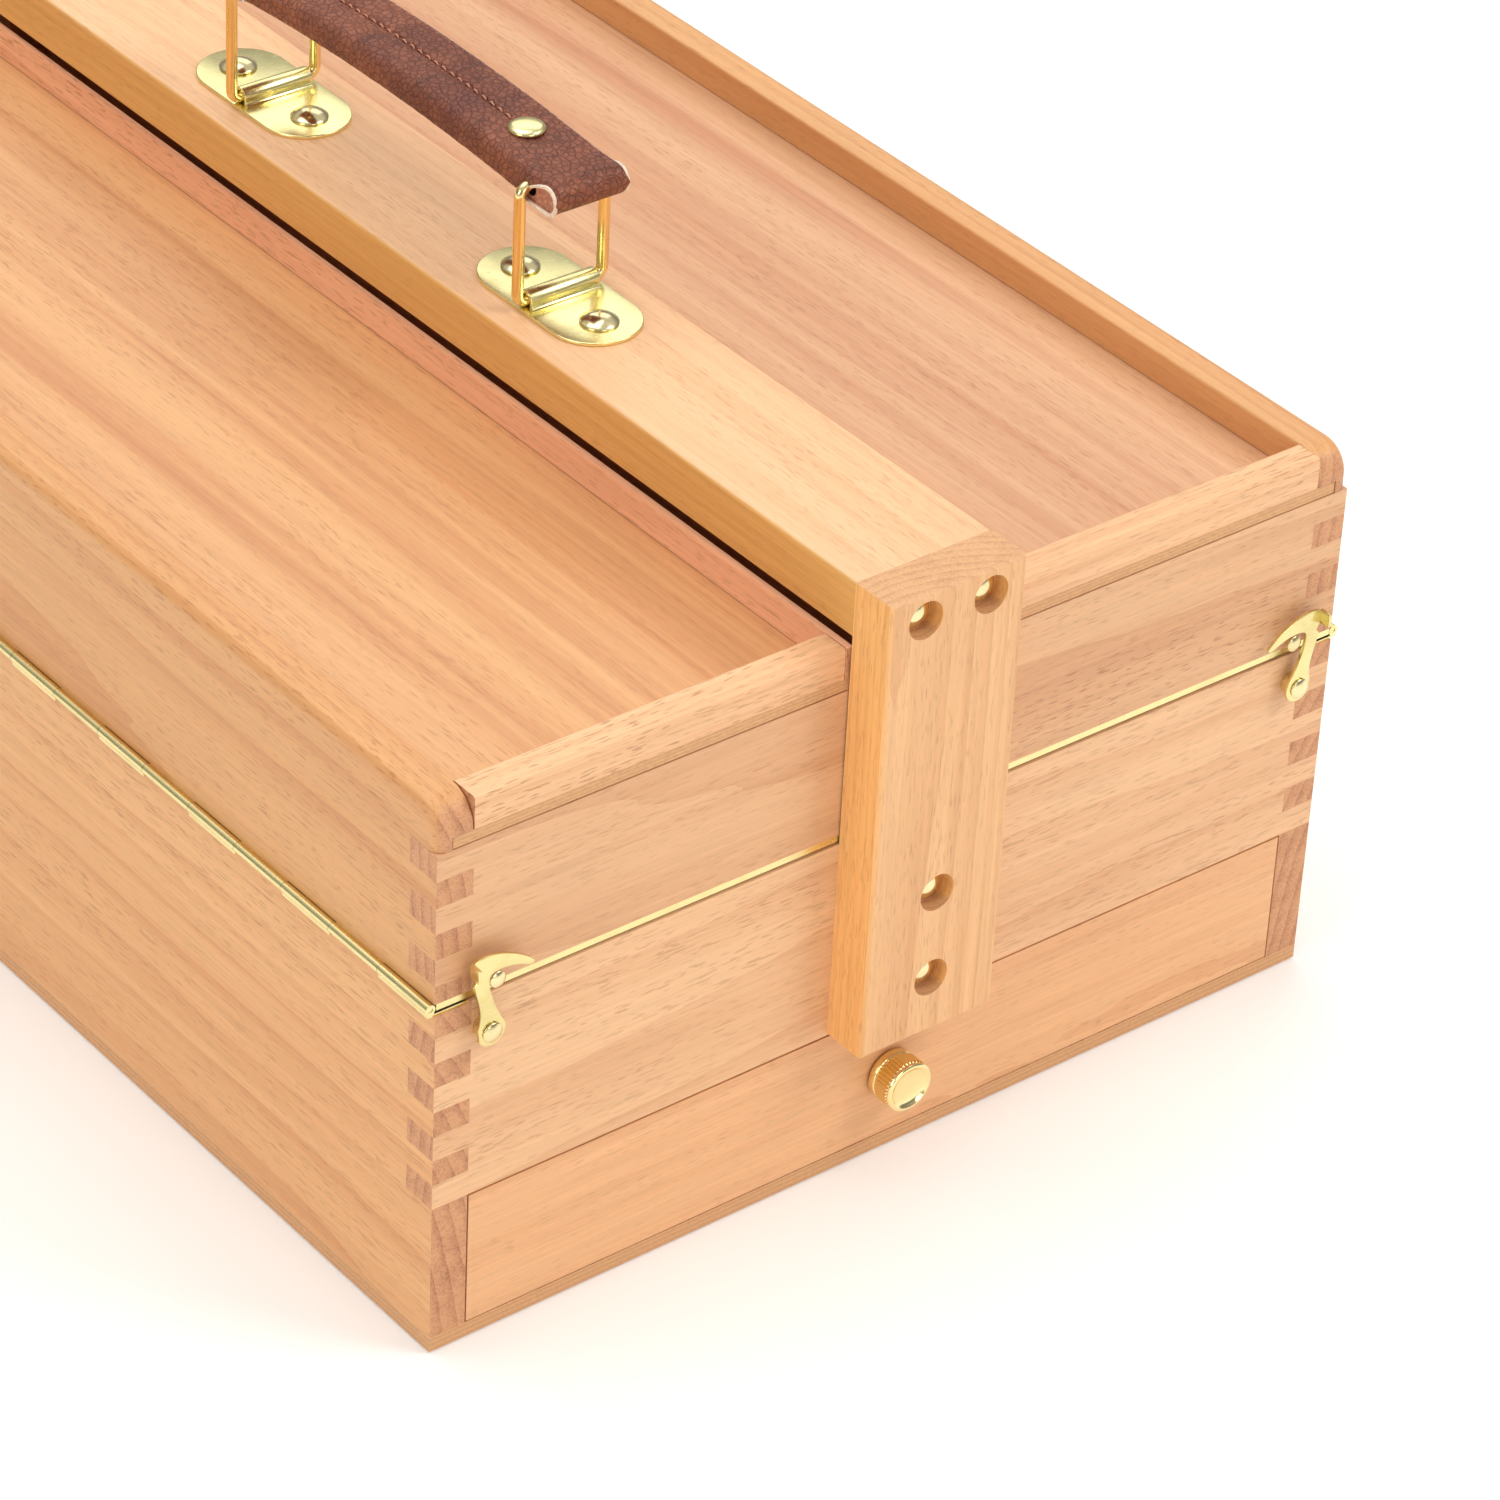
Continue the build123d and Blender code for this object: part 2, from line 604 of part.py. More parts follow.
# left hook outline in (x, z), clockwise from the lower outer corner
HOOK_OUTER = [(-125.7, 90.2), (-125.1, 95.8), (-126.4, 101.2), (-127.5, 106.2), (-126.6, 110.2)]
HOOK_TOP = [(-126.6, 110.2), (-117.8, 109.9), (-110.4, 104.7)]
HOOK_UNDER = [(-111.5, 103.9), (-116.5, 105.9), (-122.4, 105.7)]
HOOK_INNER = [(-122.4, 105.7), (-122.5, 101.6), (-120.6, 96.0), (-118.1, 90.2)]


def hook():
    """Flat crescent hook with a round eye and a folded thumb tab."""
    with BuildPart() as crescent:
        with BuildSketch(upright(-HALF_L - HOOK_BACK)):
            with BuildLine():
                Spline(*HOOK_OUTER)
                ThreePointArc(*HOOK_TOP)
                Line(HOOK_TOP[-1], HOOK_UNDER[0])
                ThreePointArc(*HOOK_UNDER)
                Spline(*HOOK_INNER)
                Line(HOOK_INNER[-1], HOOK_OUTER[0])
            make_face()
            with Locations((-HOOK_X, HOOK_Z)):
                Circle(HOOK_EYE_R)
                Circle(HOOK_HOLE_R, mode=Mode.SUBTRACT)
        extrude(amount=HOOK_T)
        with BuildSketch(upright(-HALF_L - HOOK_BACK)):
            span(-127.9, -126.9, 106.4, 110.4)
        extrude(amount=TAB_D)
    return crescent.part


def hook_screws():
    """Round-head screws that the hooks turn on."""
    with BuildPart() as screws:
        for x, z in HOOK_SPOTS:
            with Locations(aimed(x, -HALF_L - HOOK_SEAT, z, -1)):
                cross_screw(CATCH_SCREW_R, HOOK_SEAT + CATCH_REACH, HOOK_HEAD)
    return screws.part


def hook_spacers():
    """Rings that hold the hooks off the case front."""
    with BuildPart() as spacers:
        with BuildSketch(upright(-HALF_L)):
            with Locations(*HOOK_SPOTS):
                Circle(SPACER_R)
                Circle(CATCH_HOLE_R, mode=Mode.SUBTRACT)
        extrude(amount=SPACER_T)
    return spacers.part


# ================================================================ handle

PLATE_LEN = 51.4
PLATE_WID = 24.4
HANDLE_PLATE_T = 1.0
BARREL_Z = 172.7
BARREL_R = 2.55
BARREL_HALF = 10.3
WIRE_R = 1.5
WIRE_HOLE_R = 1.55
RING_HALF = 12.7
RING_TOP = 204.0
RING_CORNER = 2.2

STRAP_HALF = 10.3
STRAP_LOOP_R = 4.1
STRAP_END_Y = 68.9      # centre of the rounded ends, beyond the ring bars
STRAP_MID_TOP = 210.9
STRAP_MID_LOW = 203.4
LOOP_TOP = RING_TOP + STRAP_LOOP_R
LOOP_LOW = RING_TOP - STRAP_LOOP_R

RIVET_Y = 46.0
RIVET_SPOTS = [(0, -RIVET_Y), (0, RIVET_Y)]
RIVET_HEAD_Z = 209.4    # underside of the domed head
RIVET_FOOT_Z = 201.6    # top of the flat foot
RIVET_R = 1.5
RIVET_HEAD_R = 4.5
RIVET_RIM_H = 0.6
RIVET_CROWN_R = 2.6
RIVET_CROWN_H = 1.2
RIVET_FOOT_R = 3.5
RIVET_FOOT_H = 0.9

# rivet recesses and bore in the strap: start z, radius, signed depth
RIVET_CUTS = [
    (RIVET_HEAD_Z, 4.7, 3.0),
    (RIVET_FOOT_Z, 3.7, -3.0),
    (198.0, 1.55, 16.0),
]


def handle_plate():
    """Front obround plate with a folded barrel across its middle."""
    with BuildPart() as plate:
        with BuildSketch(Plane.XY.offset(RAIL_TOP)):
            with Locations((0, -HANDLE_Y)):
                SlotOverall(PLATE_LEN, PLATE_WID, rotation=90)
            with Locations((0, -HANDLE_Y - PLATE_SCREW_Y), (0, -HANDLE_Y + PLATE_SCREW_Y)):
                Circle(SCREW_HOLE_R, mode=Mode.SUBTRACT)
        extrude(amount=HANDLE_PLATE_T)
        with BuildSketch(Plane.YZ.offset(-BARREL_HALF)):
            with Locations((-HANDLE_Y, BARREL_Z)):
                Circle(BARREL_R)
            # the barrel's foot starts halfway through the plate
            span(-HANDLE_Y - BARREL_R, -HANDLE_Y + BARREL_R,
                 RAIL_TOP + HANDLE_PLATE_T / 2, BARREL_Z)
            with Locations((-HANDLE_Y, BARREL_Z)):
                Circle(WIRE_HOLE_R, mode=Mode.SUBTRACT)
        extrude(amount=2 * BARREL_HALF)
    return plate.part


def handle_plate_screws():
    """Four cross-recess screws, two in each handle plate."""
    plate_top = RAIL_TOP + HANDLE_PLATE_T
    with BuildPart() as screws:
        with Locations(*[(x, y, plate_top) for x, y in PLATE_SCREWS]):
            cross_screw(SCREW_R, HANDLE_PLATE_T + PLATE_SCREW_REACH, HANDLE_HEAD)
    return screws.part


def handle_ring():
    """Closed wire ring: lower bar turns in the barrel, upper bar in the strap."""
    with BuildPart() as ring:
        with BuildLine(upright(-HANDLE_Y)) as ring_path:
            Polyline((0, BARREL_Z), (RING_HALF, BARREL_Z), (RING_HALF, RING_TOP),
                     (-RING_HALF, RING_TOP), (-RING_HALF, BARREL_Z), (0, BARREL_Z))
            # every vertex but the seam in the middle of the lower bar
            fillet([v for v in ring_path.vertices() if abs(v.X) > 1.0], RING_CORNER)
        with BuildSketch(Plane(origin=(0, -HANDLE_Y, BARREL_Z), x_dir=(0, 1, 0),
                               z_dir=(1, 0, 0))):
            Circle(WIRE_R)
        sweep(path=ring_path.wires()[0])
    return ring.part


def handle_strap():
    """Leather strap: folded round each ring bar, slightly arched between them."""
    loop_end = STRAP_END_Y + STRAP_LOOP_R
    front_top, front_low = (-STRAP_END_Y, LOOP_TOP), (-STRAP_END_Y, LOOP_LOW)
    back_top, back_low = (STRAP_END_Y, LOOP_TOP), (STRAP_END_Y, LOOP_LOW)
    with BuildPart() as strap:
        with BuildSketch(Plane.YZ.offset(-STRAP_HALF)):
            with BuildLine():
                ThreePointArc(front_top, (0, STRAP_MID_TOP), back_top)
                ThreePointArc(back_top, (loop_end, RING_TOP), back_low)
                ThreePointArc(back_low, (0, STRAP_MID_LOW), front_low)
                ThreePointArc(front_low, (-loop_end, RING_TOP), front_top)
            make_face()
        extrude(amount=2 * STRAP_HALF)
        with BuildSketch(Plane.YZ.offset(-STRAP_HALF)):
            with Locations((-HANDLE_Y, RING_TOP), (HANDLE_Y, RING_TOP)):
                Circle(WIRE_HOLE_R)
        extrude(amount=2 * STRAP_HALF, mode=Mode.SUBTRACT)
        for start_z, radius, depth in RIVET_CUTS:
            with BuildSketch(Plane.XY.offset(start_z)):
                with Locations(*RIVET_SPOTS):
                    Circle(radius)
            extrude(amount=depth, mode=Mode.SUBTRACT)
    return strap.part


def strap_rivets():
    """Domed rivets that close the two loops."""
    with BuildPart() as rivets:
        for x, y in RIVET_SPOTS:
            with Locations((x, y, RIVET_HEAD_Z)):
                Cylinder(RIVET_HEAD_R, RIVET_RIM_H, align=UPWARD)
                with Locations((0, 0, RIVET_RIM_H)):
                    Cone(RIVET_HEAD_R, RIVET_CROWN_R, RIVET_CROWN_H, align=UPWARD)
                Cylinder(RIVET_R, RIVET_HEAD_Z - RIVET_FOOT_Z, align=DOWNWARD)
            with Locations((x, y, RIVET_FOOT_Z)):
                Cylinder(RIVET_FOOT_R, RIVET_FOOT_H, align=DOWNWARD)
    return rivets.part


# ================================================================ build and save

# each of these is saved under its function's name
SINGLE_PIECES = [
    bottom_panel, front_panel, back_panel, compartment_floor,
    centre_rail, post_screws,
    drawer_front, drawer_back, drawer_bottom, drawer_knob, knob_screw,
    hook_screws, hook_spacers,
    handle_plate_screws, handle_strap, strap_rivets,
]
LEFT_RIGHT_PIECES = {
    "{}_side_panel": side_panel,
    "{}_hinge_leaf": hinge_leaf,
    "{}_hinge_pin": hinge_pin,
    "{}_tray_outer_wall": tray_outer_wall,
    "{}_tray_inner_wall": tray_inner_wall,
    "{}_tray_front_wall": tray_front_wall,
    "{}_tray_back_wall": tray_back_wall,
    "{}_tray_base_plate": tray_base_plate,
    "{}_catch_screw": catch_screw,
    "{}_lid_panel": lid_panel,
    "{}_lid_pull": lid_pull,
    "drawer_{}_side": drawer_side,
    "{}_hook": hook,
}
FRONT_BACK_PIECES = {
    "{}_post": post,
    "{}_handle_plate": handle_plate,
    "{}_handle_ring": handle_ring,
}

for build in SINGLE_PIECES:
    save(build.__name__, build())
for pattern, build in LEFT_RIGHT_PIECES.items():
    save_pair(pattern, build(), ("left", "right"), Plane.YZ)
for pattern, build in FRONT_BACK_PIECES.items():
    save_pair(pattern, build(), ("front", "back"), Plane.XZ)
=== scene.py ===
"""A beech box with two lidded trays, a drawer, brass fittings and a padded leather handle strap.

The drawer and hooks face -Y, left is -X and the floor is at z = 0. The strap runs along Y over
the top and hangs from two wire rings. Shapes are in mm and scaled by MM when meshes are made;
lights and camera are in metres. Boards come from the CAD pieces and the rest is modelled here.
"""
import math
import random

import bmesh
import bpy
from mathutils import Matrix, Vector, noise


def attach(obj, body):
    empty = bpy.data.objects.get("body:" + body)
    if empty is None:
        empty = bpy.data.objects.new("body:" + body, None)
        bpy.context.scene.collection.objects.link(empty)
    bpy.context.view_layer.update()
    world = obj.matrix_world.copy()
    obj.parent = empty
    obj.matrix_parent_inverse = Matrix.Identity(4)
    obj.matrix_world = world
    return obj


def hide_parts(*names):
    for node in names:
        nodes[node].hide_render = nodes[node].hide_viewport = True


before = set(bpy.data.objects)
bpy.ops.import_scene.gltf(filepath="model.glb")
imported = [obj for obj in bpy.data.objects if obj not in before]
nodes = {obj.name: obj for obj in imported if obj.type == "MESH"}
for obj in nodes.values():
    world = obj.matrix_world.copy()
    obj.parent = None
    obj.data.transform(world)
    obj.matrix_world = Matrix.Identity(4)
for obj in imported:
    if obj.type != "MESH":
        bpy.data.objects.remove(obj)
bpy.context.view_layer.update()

MM = 0.001

SIDES = (("left", -1), ("right", 1))
RING_Y = 61.0              # rings and their plates, either side of the middle
RING_BAR_Z = 172.7         # centre of the ring's lower bar, inside the plate's barrel
RING_TOP_Z = 204.0
PLATE_TOP_Z = 171.0
PLATE_SCREW_OFFSET = 16    # from the plate's centre, along Y
HOOK_X, HOOK_Z = 121.9, 89.5   # pivot of each hook
RIVET_Y = 46


# ---------------------------------------------------------------- material helpers

def linear(colour):
    """sRGB 0-255 to linear RGBA."""
    return tuple((c / 255) / 12.92 if c / 255 <= 0.04045 else ((c / 255 + 0.055) / 1.055) ** 2.4
                 for c in colour) + (1.0,)


class Material:
    """A Principled material, with short methods that add the nodes feeding it."""

    def __init__(self, name):
        self.material = bpy.data.materials.new(name)
        self.material.use_nodes = True
        self.tree = self.material.node_tree
        self.tree.nodes.clear()
        output = self.tree.nodes.new("ShaderNodeOutputMaterial")
        self.shader = self.tree.nodes.new("ShaderNodeBsdfPrincipled")
        self.tree.links.new(self.shader.outputs[0], output.inputs[0])
        coordinates = self.tree.nodes.new("ShaderNodeTexCoord")
        self.point = coordinates.outputs["Object"]
        self.normal = coordinates.outputs["Normal"]

    def feed(self, socket, value):
        """Link a socket, or set a plain value."""
        if isinstance(value, bpy.types.NodeSocket):
            self.tree.links.new(value, socket)
        else:
            socket.default_value = value

    def node(self, kind, inputs, **settings):
        node = self.tree.nodes.new("ShaderNode" + kind)
        for key, value in settings.items():
            setattr(node, key, value)
        for key, value in inputs.items():
            self.feed(node.inputs[key], value)
        return node

    def math(self, operation, a, b=0.0, clamp=False):
        node = self.node("Math", {0: a, 1: b}, operation=operation, use_clamp=clamp)
        return node.outputs[0]

    def add(self, a, b, clamp=False):
        return self.math("ADD", a, b, clamp)

    def sub(self, a, b):
        return self.math("SUBTRACT", a, b)

    def mul(self, a, b):
        return self.math("MULTIPLY", a, b)

    def absolute(self, value):
        return self.math("ABSOLUTE", value)

    def swing(self, value, amount, middle=0.5):
        """The value's departure from its middle, times amount."""
        return self.mul(self.sub(value, middle), amount)

    def split(self, vector):
        return tuple(self.node("SeparateXYZ", {0: vector}).outputs)

    def join(self, x, y, z):
        return self.node("CombineXYZ", {0: x, 1: y, 2: z}).outputs[0]

    def stretch(self, xyz, factors):
        """Coordinates scaled per axis; a larger factor gives finer texture that way."""
        return self.join(*(self.mul(c, factor) for c, factor in zip(xyz, factors)))

    def noise(self, vector, scale=1.0, detail=2.0, rough=0.5, distort=0.0):
        inputs = {"Vector": vector, "Scale": scale, "Detail": detail,
                  "Roughness": rough, "Distortion": distort}
        return self.node("TexNoise", inputs).outputs[0]

    def cells(self, scale):
        """Distance to the nearest cell edge."""
        inputs = {"Vector": self.point, "Scale": scale}
        node = self.node("TexVoronoi", inputs, feature="DISTANCE_TO_EDGE")
        return node.outputs["Distance"]

    def span(self, value, start, end):
        """Smooth step: 0 at start, 1 at end."""
        return self.node("MapRange", {0: value, 1: start, 2: end},
                         interpolation_type="SMOOTHSTEP", clamp=True).outputs[0]

    def mix(self, factor, a, b, blend="MIX"):
        return self.node("Mix", {0: factor, 6: a, 7: b},
                         data_type="RGBA", blend_type=blend).outputs[2]

    def vary(self, colour, texture, amount):
        """Lighten and darken a colour by a texture centred on 0.5."""
        gain = self.add(self.swing(texture, amount), 1.0)
        return self.node("VectorMath", {0: colour, 3: gain}, operation="SCALE").outputs[0]

    def bump(self, height, strength, distance):
        inputs = {"Strength": strength, "Distance": distance, "Height": height}
        return self.node("Bump", inputs).outputs[0]

    def set(self, **inputs):
        for key, value in inputs.items():
            self.feed(self.shader.inputs[key.replace("_", " ")], value)


# ---------------------------------------------------------------- wood

# grain axis: indices of the direction along the grain, then the two across it
GRAIN_AXES = {"x": (0, 1, 2), "y": (1, 0, 2), "z": (2, 0, 1)}
FLECK_COLOUR = (150, 88, 48)


def end_grain(m, colour, facing, along, u, v, ring, light, dark):
    """Ringed, porous colour on the faces cut across the grain."""
    pores = m.noise(m.join(m.mul(u, 1700.0), m.mul(v, 1700.0), along), detail=1.0)
    cloud = m.noise(m.join(m.mul(u, 160.0), m.mul(v, 160.0), along), detail=3.0)
    ring_weight, pore_weight, cloud_weight = 0.55, 0.35, 1.1
    tone = m.add(m.mul(ring, ring_weight),
                 m.mul(m.span(pores, start=0.45, end=0.62), pore_weight))
    tone = m.add(tone, m.swing(cloud, cloud_weight), clamp=True)
    return m.mix(facing, colour, m.mix(tone, linear(light), linear(dark)))


def ply_edge(m, colour, edge, xyz, ply_mm):
    """Crossed layers and glue lines on the narrow faces of a sheet; ply_mm is one repeat."""
    lift = 0.00005   # metres, shifts the layers against the sheet
    layer = m.math("FRACT", m.math("DIVIDE", m.add(xyz[2], lift), ply_mm * MM))

    def off_middle():
        return m.absolute(m.sub(layer, 0.5))

    glue_at, glue_width, glue_amount = 0.235, 0.05, 0.2
    crossed = m.span(off_middle(), start=0.20, end=0.27)
    glue = m.span(m.absolute(m.sub(off_middle(), glue_at)), start=glue_width, end=0.0)
    grit = m.noise(m.stretch(xyz, (900.0, 900.0, 2600.0)), detail=2.0)
    layers = m.mix(crossed, linear((206, 154, 106)), linear((216, 164, 116)))
    layers = m.mix(m.mul(glue, glue_amount), layers, linear((140, 92, 58)))
    return m.mix(edge, colour, m.vary(layers, grit, amount=0.5))


def wood(name, axis, seed, light, dark, ring_mm=3.2, ring_amount=0.35, streak_amount=0.9,
         flecks=0.36, pith=(0.05, 0.11), end_light=(214, 156, 112), end_dark=(168, 110, 76),
         left_face_painted_light=None, bands=0.0, ply_mm=None):
    """Solid texture, so each face shows its own cut; pith is the ring centre, in metres."""
    m = Material(name)
    draw = random.Random(seed).uniform
    xyz = m.split(m.point)
    normal = m.split(m.normal)
    along_axis, u_axis, v_axis = GRAIN_AXES[axis]
    along = m.add(xyz[along_axis], draw(-3, 3))
    u, v = xyz[u_axis], xyz[v_axis]
    shift_u, shift_v = draw(-0.4, 0.4), draw(-0.4, 0.4)

    def field(length, across, shift=0.0, detail=2.0, rough=0.5):
        """Noise at one frequency along the grain and another across it."""
        vector = m.join(m.mul(along, length),
                        m.mul(m.add(u, shift_u + shift), across),
                        m.mul(m.add(v, shift_v - shift), across))
        return m.noise(vector, detail=detail, rough=rough)

    # growth rings: distance from the pith, bent by a slow warp and a fine wiggle (metres)
    warp = m.swing(field(length=2.6, across=11.0), amount=0.012)
    wiggle = m.swing(field(length=16.0, across=150.0, shift=0.1), amount=0.0010)
    from_pith_u, from_pith_v = m.add(u, pith[0]), m.add(v, pith[1])
    radius = m.math("SQRT", m.add(m.mul(from_pith_u, from_pith_u),
                                  m.mul(from_pith_v, from_pith_v)))
    radius = m.add(m.add(radius, warp), wiggle)
    sharpness = 2.6
    ring = m.math("POWER", m.math("FRACT", m.math("DIVIDE", radius, ring_mm * MM)), sharpness)

    streak = field(length=1.5, across=42.0, shift=0.2, detail=3.0, rough=0.55)
    fibre = field(length=24.0, across=1100.0, shift=0.3, detail=3.0, rough=0.6)
    soft = field(length=7.0, across=260.0, shift=0.4, rough=0.6)

    # short dark flecks, thinned to 0.4 between patches
    fleck = m.span(field(length=210.0, across=2000.0, shift=0.5, detail=1.0, rough=0.4),
                   start=0.585, end=0.68)
    patch = m.span(field(length=5.0, across=60.0, shift=0.6, detail=1.0), start=0.35, end=0.65)
    fleck = m.mul(fleck, m.add(m.mul(patch, 0.6), 0.4))

    tone = m.add(m.mul(ring, ring_amount), m.swing(streak, streak_amount, middle=0.42))
    tone = m.add(tone, m.swing(soft, amount=0.7), clamp=True)
    if bands:
        # broad pale and dark stripes along the sheet, over a weakened base tone
        wide = field(length=1.2, across=75.0, shift=0.7)
        thin = field(length=2.5, across=230.0, shift=0.8, detail=3.0, rough=0.6)
        stripes = m.add(m.swing(wide, amount=1.6), m.swing(thin, amount=1.2))
        base_share, darken = 0.6, 0.12
        tone = m.add(m.mul(tone, base_share), m.add(m.mul(stripes, bands), darken), clamp=True)
    colour = m.mix(tone, linear(light), linear(dark))
    colour = m.mix(m.mul(fleck, flecks), colour, linear(FLECK_COLOUR))
    colour = m.vary(colour, fibre, amount=0.34)

    if ply_mm:
        cut_face = m.span(m.absolute(normal[2]), start=0.7, end=0.4)
        colour = ply_edge(m, colour, cut_face, xyz, ply_mm)
    else:
        cut_face = m.span(m.absolute(normal[along_axis]), start=0.55, end=0.8)
        colour = end_grain(m, colour, cut_face, along, m.add(u, shift_u), m.add(v, shift_v),
                           ring, end_light, end_dark)
    if left_face_painted_light:
        # painted light and shade: faces on the -X side are recoloured for how the light falls on
        # them
        facing = m.span(m.mul(normal[0], -1.0), start=0.5, end=0.85)
        painted_light_colour = m.mix(1.0, colour, left_face_painted_light + (1.0,), "MULTIPLY")
        colour = m.mix(facing, colour, painted_light_colour)

    base_rough, fibre_rough, cut_rough = 0.36, 0.16, 0.14
    rough = m.add(m.mul(fibre, fibre_rough), base_rough)
    rough = m.add(rough, m.mul(cut_face, cut_rough))
    fibre_height, fleck_depth = 0.6, 0.5
    height = m.sub(m.mul(fibre, fibre_height), m.mul(fleck, fleck_depth))
    m.set(Base_Color=colour, Roughness=rough,
          Normal=m.bump(height, strength=0.28, distance=0.00018),
          Specular_IOR_Level=0.38, Coat_Weight=0.10, Coat_Roughness=0.32)
    return m.material


# ---------------------------------------------------------------- brass, leather and the rest

def brass(name, base, rough, stain=0.25, brushed=False):
    """Stained, lightly scratched metal; brushed lines run along Y. base is linear RGB."""
    m = Material(name)
    xyz = m.split(m.point)
    cloud = m.noise(m.point, scale=90.0, detail=4.0, rough=0.6)
    fine = m.noise(m.point, scale=2600.0)
    if brushed:
        line = m.noise(m.stretch(xyz, (5000.0, 60.0, 5000.0)))
    else:
        line = m.noise(m.point, scale=900.0, detail=3.0, rough=0.6)
    scratch = m.span(m.noise(m.stretch(xyz, (300.0, 2400.0, 900.0)), detail=1.0),
                     start=0.66, end=0.74)
    stain_tint = (0.66, 0.58, 0.45)
    dark = tuple(c * k for c, k in zip(base, stain_tint)) + (1.0,)
    stained = m.mul(m.span(cloud, start=0.45, end=0.75), stain)
    colour = m.mix(stained, base + (1.0,), dark)
    cloud_rough, scratch_rough = 0.25, 0.12
    roughness = m.add(rough, m.swing(cloud, cloud_rough))
    roughness = m.add(roughness, m.mul(scratch, scratch_rough))
    line_height, fine_height = 0.6, 0.3
    height = m.add(m.mul(line, line_height), m.mul(fine, fine_height))
    m.set(Base_Color=colour, Roughness=roughness, Metallic=1.0,
          Normal=m.bump(height, strength=0.10, distance=0.00008))
    return m.material


def leather(name):
    """Brown leather: cells parted by dark creases; the darkening in the creases and between the
    cells is partly the leather's own colour and partly painted shade.
    """
    m = Material(name)
    warp = m.noise(m.point, scale=240.0, detail=3.0, rough=0.55)
    cell = m.cells(scale=540.0)
    fine = m.cells(scale=1500.0)
    cloud = m.noise(m.point, scale=55.0, detail=3.0, rough=0.6)
    crease = m.noise(m.stretch(m.split(m.point), (70.0, 420.0, 160.0)),
                     detail=3.0, rough=0.6, distort=0.6)
    raised = m.span(cell, start=0.0, end=0.16)
    crease_dark, gap_dark, gap_rough, base_rough = 0.45, 0.40, 0.25, 0.36
    colour = m.mix(m.span(cloud, start=0.3, end=0.72),
                   linear((112, 52, 32)), linear((156, 86, 54)))
    # creases and gaps between cells darkened: partly the leather's own colour, partly painted
    # shade in the hollows
    colour = m.mix(m.mul(m.span(crease, start=0.5, end=0.75), crease_dark),
                   colour, linear((66, 26, 18)))
    colour = m.mix(m.mul(m.sub(1.0, raised), gap_dark), colour, linear((58, 22, 15)))
    cell_height, fine_height, crease_height, warp_height = 0.7, 0.25, 0.9, 0.7
    height = m.add(m.mul(raised, cell_height),
                   m.mul(m.span(fine, start=0.0, end=0.2), fine_height))
    height = m.add(height, m.mul(crease, crease_height))
    height = m.add(height, m.mul(warp, warp_height))
    m.set(Base_Color=colour,
          Roughness=m.add(base_rough, m.mul(m.sub(1.0, raised), gap_rough)),
          Normal=m.bump(height, strength=0.8, distance=0.00050),
          Specular_IOR_Level=0.5, Coat_Weight=0.08, Coat_Roughness=0.28)
    return m.material


def plain(name, first, second, scale, rough, bump=0.3, distance=0.0002, glow=0.0):
    """Two colours mottled by one noise."""
    m = Material(name)
    mottle = m.noise(m.point, scale=scale, detail=3.0, rough=0.6)
    m.set(Base_Color=m.mix(m.span(mottle, start=0.35, end=0.65), linear(first), linear(second)),
          Roughness=rough, Normal=m.bump(mottle, bump, distance), Emission_Strength=glow)
    return m.material


# light and dark wood tones, with the settings shared by every board of that tone
FRONT = dict(light=(235, 188, 142), dark=(207, 144, 98))
UPPER = dict(light=(226, 177, 132), dark=(199, 135, 91))
DRAWER = dict(light=(235, 180, 130), dark=(207, 138, 89))
# the posts' -X faces are made lighter and oranger by the left factor: painted light
POST = dict(light=(234, 183, 130), dark=(207, 140, 89), left_face_painted_light=(1.15, 1.10, 0.84),
            flecks=0.26, end_light=(220, 170, 122), end_dark=(192, 137, 96))
# painted shade: the side and outer-wall tones are darker and oranger than the front's, set for
# boards whose big faces point along X and catch less light
SIDE_SHADED = dict(light=(230, 175, 118), dark=(202, 130, 78))
OUTER_SHADED = dict(light=(220, 164, 108), dark=(193, 122, 71))
LID = {"left": dict(light=(223, 170, 118), dark=(192, 122, 76)),
       "right": dict(light=(218, 169, 128), dark=(188, 121, 82))}
RAIL = dict(light=(239, 190, 143), dark=(215, 151, 101))
# the inner-wall tone is partly the wood's colour and partly painted reflected light, the orange
# light thrown onto the inner walls by the rail's side
INNER_REFLECTED = dict(light=(249, 190, 148), dark=(216, 146, 107))

